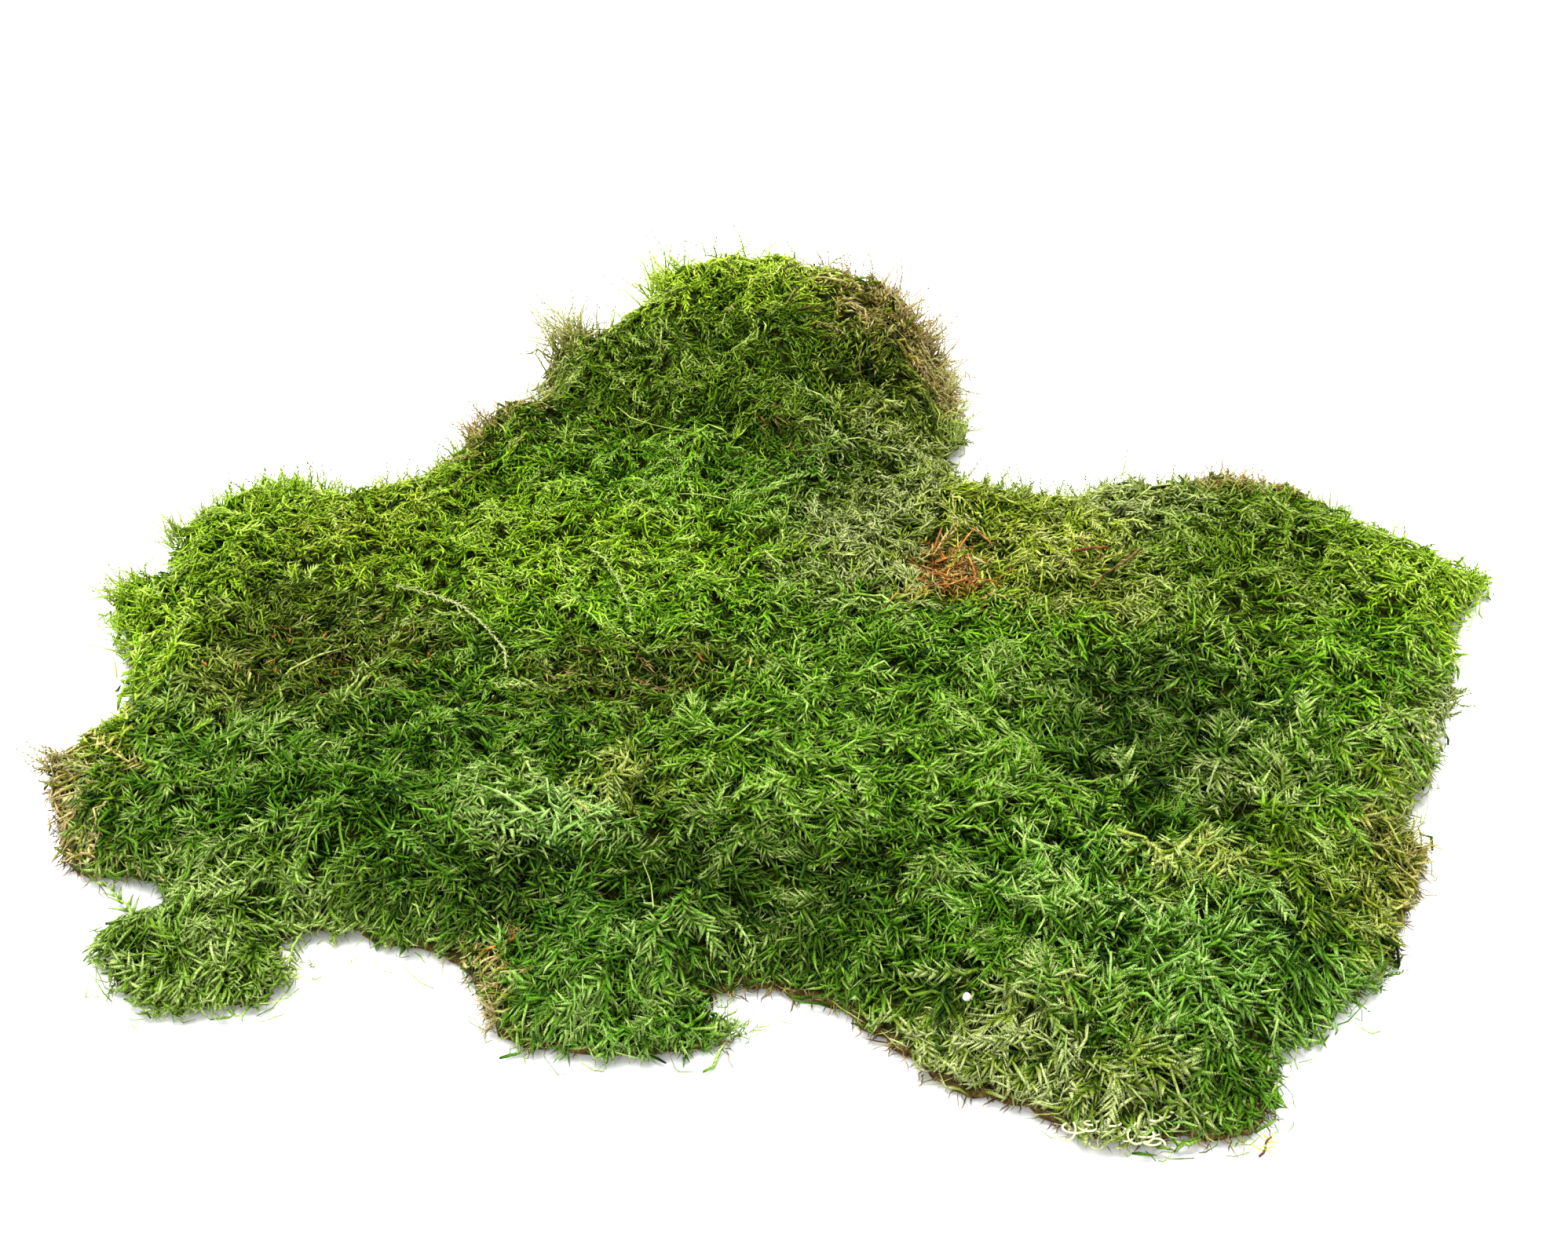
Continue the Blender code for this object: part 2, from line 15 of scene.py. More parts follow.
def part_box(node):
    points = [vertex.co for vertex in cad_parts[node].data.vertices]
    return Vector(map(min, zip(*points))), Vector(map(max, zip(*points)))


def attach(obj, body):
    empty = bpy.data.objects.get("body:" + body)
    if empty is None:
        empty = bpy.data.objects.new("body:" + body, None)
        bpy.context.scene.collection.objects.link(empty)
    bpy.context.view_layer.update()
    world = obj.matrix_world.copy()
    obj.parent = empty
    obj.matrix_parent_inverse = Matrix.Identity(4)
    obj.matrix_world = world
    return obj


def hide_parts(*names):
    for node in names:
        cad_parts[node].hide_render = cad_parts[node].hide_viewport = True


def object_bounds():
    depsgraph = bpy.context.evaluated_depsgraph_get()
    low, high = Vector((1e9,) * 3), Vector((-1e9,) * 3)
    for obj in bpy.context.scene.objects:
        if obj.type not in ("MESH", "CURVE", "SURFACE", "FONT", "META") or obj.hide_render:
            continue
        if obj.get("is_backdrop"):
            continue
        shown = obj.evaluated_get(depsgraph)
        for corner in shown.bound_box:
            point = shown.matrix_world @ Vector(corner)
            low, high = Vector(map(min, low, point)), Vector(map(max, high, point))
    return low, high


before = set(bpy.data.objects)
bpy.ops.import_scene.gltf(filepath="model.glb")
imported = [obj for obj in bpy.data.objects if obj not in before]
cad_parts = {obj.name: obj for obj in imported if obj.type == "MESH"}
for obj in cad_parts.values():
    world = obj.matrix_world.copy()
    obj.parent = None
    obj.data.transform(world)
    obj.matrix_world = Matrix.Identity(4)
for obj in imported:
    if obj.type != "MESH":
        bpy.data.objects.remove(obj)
cad_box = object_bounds()
MM = 0.001
rng = np.random.default_rng(410)
print("solids:", len(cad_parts), "box in mm:", [round(v / MM) for corner in cad_box for v in corner])

# %% [markdown]
# The mat was looked at from the front, 42 degrees down, from two thirds of a metre away. A camera
# can be aimed by hand in the viewport. Here its place, tilt and lens are numbers, fitted until
# the mat's outline lay on the real one, so that every render can be laid over it.

# %% Camera
CAMERA_PLACE = (-4.5 * MM, -497 * MM, 470 * MM)
CAMERA_DOWN = 42.0
CAMERA_LENS = 46.9
SENSOR_WIDTH = 36.0

camera = bpy.data.objects.new("camera", bpy.data.cameras.new("camera"))
camera.location = CAMERA_PLACE
camera.rotation_euler = (math.radians(90 - CAMERA_DOWN), 0, 0)
camera.data.lens = CAMERA_LENS
camera.data.sensor_width = SENSOR_WIDTH
camera.data.clip_start = 0.01
bpy.context.scene.collection.objects.link(camera)
bpy.context.scene.camera = camera
bpy.context.scene.view_settings.view_transform = "Standard"
print("camera height in mm:", round(camera.location.z / MM))

# %% [markdown]
# The light is that of a bright studio: a very wide soft sun above and a little behind, a weak one
# from the front, and an even white sky. Area lamps would do too, but a sun lights near and far
# shoots alike. Shadows under the edge are faint, and the gaps between the shoots look dark.


# %% Light
def soft_sun(name, way, strength, spread):
    """A sun that shines along a direction, with a disc of the given degrees for soft shadows."""
    lamp = bpy.data.lights.new(name, "SUN")
    lamp.energy = strength
    lamp.angle = math.radians(spread)
    made = bpy.data.objects.new(name, lamp)
    made.rotation_euler = Vector(way).to_track_quat("-Z", "Y").to_euler()
    bpy.context.scene.collection.objects.link(made)


soft_sun("soft_sun_above", (0.1, -0.45, -1.3), 6.0, 40)
soft_sun("soft_sun_front", (0.9, 1.1, -1.2), 0.7, 60)

world = bpy.data.worlds.new("even_sky")
world.use_nodes = True
world.node_tree.nodes["Background"].inputs["Color"].default_value = (1, 1, 1, 1)
world.node_tree.nodes["Background"].inputs["Strength"].default_value = 1.0
bpy.context.scene.world = world

# %% [markdown]
# A mesh is a row of points and a row of faces, each face a set of point numbers. Blender's add
# tools make one shape at a time, which is slow for a million triangles. So every piece here ends
# in this one helper, which hands whole arrays to Blender.


# %% Arrays into a mesh
def put_mesh(name, points, faces, material, maps=None, smooth=False):
    """Puts point and face arrays into a mesh; each of the maps is a pair of numbers at each point."""
    mesh = bpy.data.meshes.new(name)
    mesh.vertices.add(len(points))
    mesh.vertices.foreach_set("co", np.ascontiguousarray(points, np.float32).ravel())
    corners = faces.shape[1]
    mesh.loops.add(faces.size)
    mesh.loops.foreach_set("vertex_index", np.ascontiguousarray(faces, np.int32).ravel())
    mesh.polygons.add(len(faces))
    mesh.polygons.foreach_set("loop_start", np.arange(0, faces.size, corners, dtype=np.int32))
    for layer, values in (maps or {}).items():
        spread = np.ascontiguousarray(values[faces.ravel()], np.float32).ravel()
        mesh.uv_layers.new(name=layer).data.foreach_set("uv", spread)
    mesh.update(calc_edges=True)
    mesh.validate()
    if smooth:
        mesh.shade_smooth()
    else:
        mesh.shade_flat()
    mesh.materials.append(material)
    made = bpy.data.objects.new(name, mesh)
    bpy.context.scene.collection.objects.link(made)
    return made


# %% [markdown]
# The mat lies on plain white ground: one square that reaches far out, in a material of one
# colour. Every other material starts from the same helper, and has its nodes added to it.


# %% A plain material and the floor
def plain_material(name, colour, roughness):
    """A material in one colour, for a thing to add nodes to."""
    made = bpy.data.materials.new(name)
    made.use_nodes = True
    shader = made.node_tree.nodes["Principled BSDF"]
    shader.inputs["Base Color"].default_value = (*colour, 1)
    shader.inputs["Roughness"].default_value = roughness
    return made


FLOOR_REACH = 60.0
FLOOR_WHITE = (0.93, 0.93, 0.94)
floor_points = np.array([(-1, -1, 0), (1, -1, 0), (1, 1, 0), (-1, 1, 0)]) * FLOOR_REACH
floor_look = plain_material("white_floor", FLOOR_WHITE, 0.6)
floor = put_mesh("floor", floor_points, np.array([[0, 1, 2, 3]]), floor_look)
floor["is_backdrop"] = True
print("floor reaches", FLOOR_REACH, "m each way")

# %% [markdown]
# Everything that grows has to follow the mat's form, so its height is read once from the packed
# carpet: a ray goes down through each point of a grid over the plan, and notes where it lands.
# Asking for the height of one shoot after another would give the same, but far more slowly.

# %% Read the carpet's height
GRID_STEP = 2.0
GRID_X = np.arange(-252, 253, GRID_STEP)
GRID_Y = np.arange(-204, 217, GRID_STEP)
RAY_START = 0.2

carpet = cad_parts["moss_carpet"].data
carpet_tree = BVHTree.FromPolygons([v.co for v in carpet.vertices], [p.vertices for p in carpet.polygons])
hits = [
    carpet_tree.ray_cast(Vector((x * MM, y * MM, RAY_START)), Vector((0, 0, -1)))[0]
    for y in GRID_Y
    for x in GRID_X
]
raw_height = np.array([hit.z / MM if hit else np.nan for hit in hits]).reshape(len(GRID_Y), len(GRID_X))
inside = ~np.isnan(raw_height)
plan_x, plan_y = np.meshgrid(GRID_X, GRID_Y)
covered = inside.sum() * GRID_STEP**2 / 100
print("mat covers", round(covered), "cm2, highest", round(float(np.nanmax(raw_height))), "mm")

# %% [markdown]
# The solid has a spike to each tuft. A blur takes these out, and what is left is the soft rolling
# surface that the shoots lie on. It could be smoothed with a modifier, but a blur on the grid
# also works for every other field, such as the noise further down.


# %% The soft surface
def blur(field, times):
    """Each pass gives a cell the weighted mean of itself and its four neighbours, along both axes."""
    for _ in range(times):
        field = (np.roll(field, 1, 0) + 2 * field + np.roll(field, -1, 0)) / 4
        field = (np.roll(field, 1, 1) + 2 * field + np.roll(field, -1, 1)) / 4
    return field


def masked_blur(field, mask, times):
    """A blur that reads only the cells inside a mask."""
    weight = blur(mask.astype(float), times)
    return blur(np.where(mask, field, 0.0), times) / np.maximum(weight, 1e-9), weight


soft_height, soft_weight = masked_blur(raw_height, inside, 6)
wide_height, _ = masked_blur(raw_height, inside, 60)
print("soft surface, highest in mm:", round(float(soft_height[inside].max()), 1))

# %% [markdown]
# Shoots behave differently near the rim: they hang over it, and the mat is thinner there. So each
# place needs to know how far it is from the edge. The nearest of the border's cells tells it.

# %% How far from the edge
beside = [np.roll(inside, shift, axis) for shift in (1, -1) for axis in (0, 1)]
border = inside & ~np.logical_and.reduce(beside)
border_places = np.column_stack([plan_x[border], plan_y[border]])
BATCHES = 24


def edge_field():
    """How far each cell is inside the mat's edge, in millimetres; below zero outside."""
    cells = np.column_stack([plan_x.ravel(), plan_y.ravel()])
    away = [
        np.linalg.norm(part[:, None, :] - border_places[None, :, :], axis=2).min(1)
        for part in np.array_split(cells, BATCHES)
    ]
    away = np.concatenate(away).reshape(plan_x.shape)
    return blur(np.where(inside, away, -away), 2)


edge_map = edge_field()
print("border cells:", len(border_places), "farthest inside in mm:", round(float(edge_map.max())))

# %% [markdown]
# Moss grows in clumps a few centimetres wide, with dark pockets between them. Noise makes both:
# random numbers on the grid, blurred until their lumps are as wide as wanted. A noise texture
# would be smoother to look at, but the shoots need its value in numbers, before they are made.


# %% Clumps and pockets
def noise_field(scale, seed):
    """Smooth noise on the grid: white noise, blurred, brought back to a spread of one."""
    own = np.random.default_rng(seed)
    field = blur(own.standard_normal(plan_x.shape), scale)
    return field / field.std()


clump_map = 1.1 * noise_field(10, 21) + 0.55 * noise_field(3, 22)
turn_map = 1.5 * noise_field(24, 23)
pockets = np.clip(noise_field(5, 31) - 0.75, 0, 1.4)
clump_size = 1.0 + 0.7 * np.clip((30 - plan_y) / 80, 0, 1)
# Painted light and shade: through their age, shoots on the clumps are made a little lighter and those in the
# pockets darker.
light_map = 0.045 * clump_map - 0.13 * pockets
print("share of the plan in pockets:", round(float((pockets > 0).mean()), 2))

# %% [markdown]
# Some stretches of the real mat are sunlit and fresh, others dull, and this is not noise: it is
# where it is. It goes into the shoots' colour through their age: partly the mat's own freshness,
# partly painted light and painted shade. These rows are listed, each a soft bell with its middle,
# its two widths in millimetres and how much it adds to the painted light. Bells on the height
# shape the hill's crest. Past the edge the surface runs down to the ground, for the shoots that
# hang over it to follow.

# %% Light and rises, listed one by one
SHADES = (
    (6, 140, 24, 22, -0.1), (24, 148, 18, 14, -0.05), (-56, 134, 30, 26, 0.09), (-30, 186, 36, 13, 0.16),
    (30, 112, 22, 20, 0.05), (-156, -6, 30, 14, -0.06), (-50, -14, 36, 10, -0.08), (-6, 102, 9, 7, -0.1),
    (220, 40, 24, 18, 0.07), (-88, -100, 24, 12, -0.03), (10, -102, 34, 12, -0.05), (100, -30, 24, 14, -0.1),
    (120, -54, 22, 10, -0.12), (84, 30, 36, 18, 0.11), (-196, 74, 34, 18, 0.07), (104, -166, 24, 10, -0.04),
    (-74, -82, 16, 10, 0.1), (-92, -98, 20, 9, 0.08), (-56, -128, 28, 20, 0.04), (160, 46, 36, 28, 0.15),
    (98, 26, 34, 22, 0.05), (104, -164, 30, 12, 0.05), (50, -158, 34, 14, 0.05), (160, -58, 24, 16, 0.06),
    (10, -36, 34, 24, 0.04), (-158, -4, 40, 18, 0.04), (-174, -122, 30, 20, 0.06), (-66, 36, 60, 26, 0.1),
    (165, 46, 30, 24, -0.05), (28, 60, 20, 28, 0.12), (114, 74, 30, 12, 0.18), (30, 176, 26, 18, 0.05),
    (204, -30, 12, 30, 0.12), (-48, 86, 36, 20, 0.06), (190, -72, 7, 8, -0.16), (172, -104, 12, 14, -0.07),
    (186, -96, 10, 18, -0.19), (196, -50, 6, 8, -0.12), (91, -79, 17, 17, -0.17), (54, -79, 15, 16, -0.07),
    (160, -79, 12, 18, 0.19), (16, -115, 16, 14, -0.06), (-19, -79, 17, 18, 0.06), (38, -40, 30, 14, -0.06),
    (134, -132, 9, 13, -0.2), (52, -115, 15, 14, 0.07), (122, -115, 13, 12, -0.07),
)
RISES = ((-71, 175, 11, 14, -12.0), (-49, 188, 8, 11, 15.0), (-20, 194, 16, 9, 3.0), (36, 186, 13, 12, 6.0))


def add_bells(field, rows):
    """Adds to a field a bell for each row: its amount times e to the minus squared distance, the
    distance measured in the row's own two widths."""
    for across, along, wide, deep, amount in rows:
        field = field + amount * np.exp(-(((plan_x - across) / wide) ** 2) - ((plan_y - along) / deep) ** 2)
    return field


light_map = add_bells(light_map, SHADES)
height_map = np.where(soft_weight > 0.02, soft_height, wide_height)
height_map = height_map + (clump_map * clump_size - 2.0 * pockets) * np.clip(edge_map / 10, 0, 1)
height_map = np.where(edge_map < 0, np.maximum(height_map + 0.9 * edge_map, 1.0), height_map)
height_map = np.maximum(add_bells(height_map, RISES), 1.0)
slope_y, slope_x = np.gradient(height_map, GRID_STEP)
print("surface for the shoots, highest in mm:", round(float(height_map.max()), 1))

# %% [markdown]
# A shoot stands anywhere, not only on a grid point. So a field is read between its four nearest
# cells, for all shoots in one step. From the slopes comes the way that is up off the surface.


# %% Read a field at any place
def read(field, x, y):
    """The value of a grid field at places of the plan, in a straight blend of four cells."""
    column = np.clip((x - GRID_X[0]) / GRID_STEP, 0, len(GRID_X) - 1.001)
    row = np.clip((y - GRID_Y[0]) / GRID_STEP, 0, len(GRID_Y) - 1.001)
    c, r = column.astype(int), row.astype(int)
    a, b = column - c, row - r
    low = field[r, c] * (1 - a) + field[r, c + 1] * a
    high = field[r + 1, c] * (1 - a) + field[r + 1, c + 1] * a
    return low * (1 - b) + high * b


def unit(vectors):
    """Vectors cut or drawn out to length one."""
    return vectors / np.maximum(np.linalg.norm(vectors, axis=-1, keepdims=True), 1e-9)


def surface_normals(x, y):
    """The upward normal of the mat's soft surface at places of the plan."""
    return unit(np.stack([-read(slope_x, x, y), -read(slope_y, x, y), np.ones_like(x)], -1))


print("height at the middle in mm:", round(float(read(height_map, np.zeros(1), np.zeros(1))[0]), 1))

# %% [markdown]
# Seen close, moss has no one colour: a patch of one kind or age is yellow-green, the next is
# blue-green, old rims are tan. The colours are a row of named tones, and a shoot will carry its
# place along that row as a number. A material to each tone would do too, but tones couldn't mix.


# %% The row of moss tones
def linear(red, green, blue):
    """Screen colour values from 0 to 255, as the linear colour that a shader reads."""
    share = np.array([red, green, blue]) / 255
    return tuple(np.where(share <= 0.04045, share / 12.92, ((share + 0.055) / 1.055) ** 2.4))


TONES = (
    ("rust", (190, 100, 36)),
    ("tan", (188, 168, 104)),
    ("fawn", (202, 168, 126)),
    ("hay", (206, 196, 134)),
    ("straw", (188, 206, 110)),
    ("yellow_olive", (190, 202, 64)),
    ("lime", (214, 242, 70)),
    ("spring", (174, 212, 44)),
    ("leaf_green", (134, 188, 30)),
    ("deep_green", (114, 146, 8)),
    ("fir_green", (98, 144, 28)),
    ("mid_green", (130, 176, 50)),
    ("pine_green", (106, 158, 48)),
    ("teal", (132, 178, 84)),
    ("grey_green", (150, 178, 92)),
    ("olive_grey", (160, 168, 74)),
    ("dark_olive", (104, 122, 18)),
    # Painted shade: shade_green and shadow_green are darker greens for stretches that lie in shade.
    ("shade_green", (94, 118, 4)),
    ("shadow_green", (80, 114, 22)),
    ("sage", (176, 184, 122)),
)
TONE_AT = {name: (k + 0.5) / len(TONES) for k, (name, _) in enumerate(TONES)}
TONE_STOPS = [(TONE_AT[key], linear(*colour)) for key, colour in TONES]
print("tones in the row:", len(TONES))

# %% [markdown]
# A material is a small machine of nodes. Each kind of node that is used below gets a helper with
# a plain name, so that a material reads as a few lines and not as a page of links.


# %% Short names for shader nodes
def feed(tree, socket, value):
    """Links a socket to another one, or sets it to a value."""
    if isinstance(value, bpy.types.NodeSocket):
        tree.links.new(value, socket)
    else:
        socket.default_value = value


def add_ramp(tree, place, stops):
    """The colour at a place along a ramp with the given (place, colour) stops."""
    ramp = tree.nodes.new("ShaderNodeValToRGB")
    while len(ramp.color_ramp.elements) < len(stops):
        ramp.color_ramp.elements.new(0.5)
    for element, (stop, colour) in zip(ramp.color_ramp.elements, stops):
        element.position = stop
        element.color = (*colour, 1)
    tree.links.new(place, ramp.inputs["Fac"])
    return ramp.outputs["Color"]


def add_mix(tree, blend, share, first, second):
    """A colour mix node; share, first and second are sockets or values."""
    mix = tree.nodes.new("ShaderNodeMix")
    mix.data_type = "RGBA"
    mix.blend_type = blend
    for socket, value in ((mix.inputs[0], share), (mix.inputs[6], first), (mix.inputs[7], second)):
        feed(tree, socket, value)
    return mix.outputs[2]


# %% [markdown]
# Three more kinds of node are needed: sums on numbers, noise, and bumps. The noise reads the
# piece's own coordinates, so it stays where it is on the moss, wherever the part is put.


# %% Sums, noise and bumps
def add_math(tree, operation, *values, clamp=False):
    """A math node; each value is a socket or a number, and clamp keeps the result from 0 to 1."""
    node = tree.nodes.new("ShaderNodeMath")
    node.operation = operation
    node.use_clamp = clamp
    for socket, value in zip(node.inputs, values):
        feed(tree, socket, value)
    return node.outputs[0]


def add_noise(tree, scale, detail):
    """Noise over the piece's own coordinates."""
    place = tree.nodes.new("ShaderNodeTexCoord")
    noise = tree.nodes.new("ShaderNodeTexNoise")
    feed(tree, noise.inputs["Scale"], scale)
    feed(tree, noise.inputs["Detail"], detail)
    tree.links.new(place.outputs["Object"], noise.inputs["Vector"])
    return noise.outputs["Fac"]


def add_bump(tree, height, strength, distance):
    """Bumps from a height, fed to the material's shader."""
    bump = tree.nodes.new("ShaderNodeBump")
    bump.inputs["Strength"].default_value = strength
    bump.inputs["Distance"].default_value = distance
    tree.links.new(height, bump.inputs["Height"])
    tree.links.new(bump.outputs["Normal"], tree.nodes["Principled BSDF"].inputs["Normal"])


# %% [markdown]
# What several materials share goes into a node group: it is built once, with named inputs and
# outputs, and each material puts it to use with values of its own.


# %% Shader groups
def new_group(name, takes, gives):
    """An empty shader group; takes and gives are rows of (label, kind of socket)."""
    group = bpy.data.node_groups.new(name, "ShaderNodeTree")
    for way, sockets in (("INPUT", takes), ("OUTPUT", gives)):
        for label, kind in sockets:
            group.interface.new_socket(label, in_out=way, socket_type="NodeSocket" + kind)
    return group, group.nodes.new("NodeGroupInput").outputs, group.nodes.new("NodeGroupOutput").inputs


def use_group(tree, group, **values):
    """A group put to use in a material, with its inputs fed by label."""
    node = tree.nodes.new("ShaderNodeGroup")
    node.node_tree = group
    for label, value in values.items():
        feed(tree, node.inputs[label], value)
    return node.outputs


# %% [markdown]
# A shoot's colour has two causes: the kind of moss, and the leaf's age, which also carries painted
# light and shade. The old base is dark and brown, and darker still as painted shade deep in the
# mat; the middle has the full tone, and the fresh tip is pale, partly as a painted highlight. So
# this group mixes two tones of the row by a share, then multiplies by a ramp of age and painted
# shade, and fades to the tip's pale green, which is partly a painted highlight.

# %% Leaf tones
AGE_AND_SHADE_STOPS = [
    (0.0, linear(14, 26, 0)),
    (0.24, linear(72, 104, 8)),
    (0.46, linear(188, 207, 106)),
    (0.64, linear(255, 255, 255)),
]
TIP_STOPS = [(0.58, (0, 0, 0)), (0.92, (0.6, 0.6, 0.6))]
TIP_GREEN = linear(210, 227, 138)

leaf_tones, takes, gives = new_group(
    "leaf_tones", [(label, "Float") for label in ("First", "Second", "Share", "Age")], [("Color", "Color")]
)
hues = [add_ramp(leaf_tones, takes[label], TONE_STOPS) for label in ("First", "Second")]
age_shade = add_ramp(leaf_tones, takes["Age"], AGE_AND_SHADE_STOPS)
tip_share = add_ramp(leaf_tones, takes["Age"], TIP_STOPS)
mixed = add_mix(leaf_tones, "MIX", takes["Share"], *hues)
aged = add_mix(leaf_tones, "MULTIPLY", 1.0, mixed, age_shade)
tipped = add_mix(leaf_tones, "MIX", tip_share, aged, (*TIP_GREEN, 1))
leaf_tones.links.new(tipped, gives["Color"])
print("leaf tones group:", len(leaf_tones.nodes), "nodes")

# %% [markdown]
# Each real shoot is wrapped in scale leaves of half a millimetre. Modelling them would cost
# millions of faces. So bands across the shoot, at even steps of its age and shaken by fine noise,
# paint shade into the colour between the leaves and a little painted light on them, and raise
# them with bumps.

# %% Scale leaves
LEAF_BANDS = 20.0
LEAF_NOISE = 1300.0
BAND_STOPS = [(0.0, (0.42, 0.45, 0.36)), (0.2, (0.85, 0.85, 0.85)), (0.5, (1.1, 1.1, 1.1))]

leaf_scales, takes, gives = new_group(
    "leaf_scales", [("Age", "Float")], [("Shade", "Color"), ("Height", "Float")]
)
fine_noise = add_noise(leaf_scales, LEAF_NOISE, 1.0)
bands = add_math(leaf_scales, "MULTIPLY_ADD", takes["Age"], LEAF_BANDS, fine_noise)
scales = add_math(leaf_scales, "PINGPONG", bands, 0.5)
leaf_scales.links.new(add_ramp(leaf_scales, scales, BAND_STOPS), gives["Shade"])
leaf_scales.links.new(scales, gives["Height"])
print("leaf scales group:", len(leaf_scales.nodes), "nodes")

# %% [markdown]
# The moss material reads each shoot's numbers from the piece's own maps: its two tones, how much
# of the second is in it, and the leaf's age, which also carries the painted light and shade. So
# one material gives moss of every colour, and it can be baked for an export like any other.

# %% The moss material
LEAF_GLOSS = 0.08


def own_map(tree, name):
    """Both numbers of one of the piece's own maps, as two sockets."""
    read_map = tree.nodes.new("ShaderNodeUVMap")
    read_map.uv_map = name
    split = tree.nodes.new("ShaderNodeSeparateXYZ")
    tree.links.new(read_map.outputs["UV"], split.inputs["Vector"])
    return split.outputs["X"], split.outputs["Y"]


def moss_material(name, roughness):
    """Leaf colour from the piece's own maps: tone holds two places in the row of tones, growth
    holds the second one's share and the leaf's age."""
    made = plain_material(name, linear(110, 160, 60), roughness)
    tree = made.node_tree
    first, second = own_map(tree, "tone")
    share, age = own_map(tree, "growth")
    colour = use_group(tree, leaf_tones, First=first, Second=second, Share=share, Age=age)["Color"]
    leaf = use_group(tree, leaf_scales, Age=age)
    shader = tree.nodes["Principled BSDF"]
    tree.links.new(add_mix(tree, "MULTIPLY", 1.0, colour, leaf["Shade"]), shader.inputs["Base Color"])
    shader.inputs["Specular IOR Level"].default_value = LEAF_GLOSS
    add_bump(tree, leaf["Height"], 0.7, 0.0004)
    return made


moss_leaves = moss_material("moss_leaves", 0.55)
print("moss material:", len(moss_leaves.node_tree.nodes), "nodes")
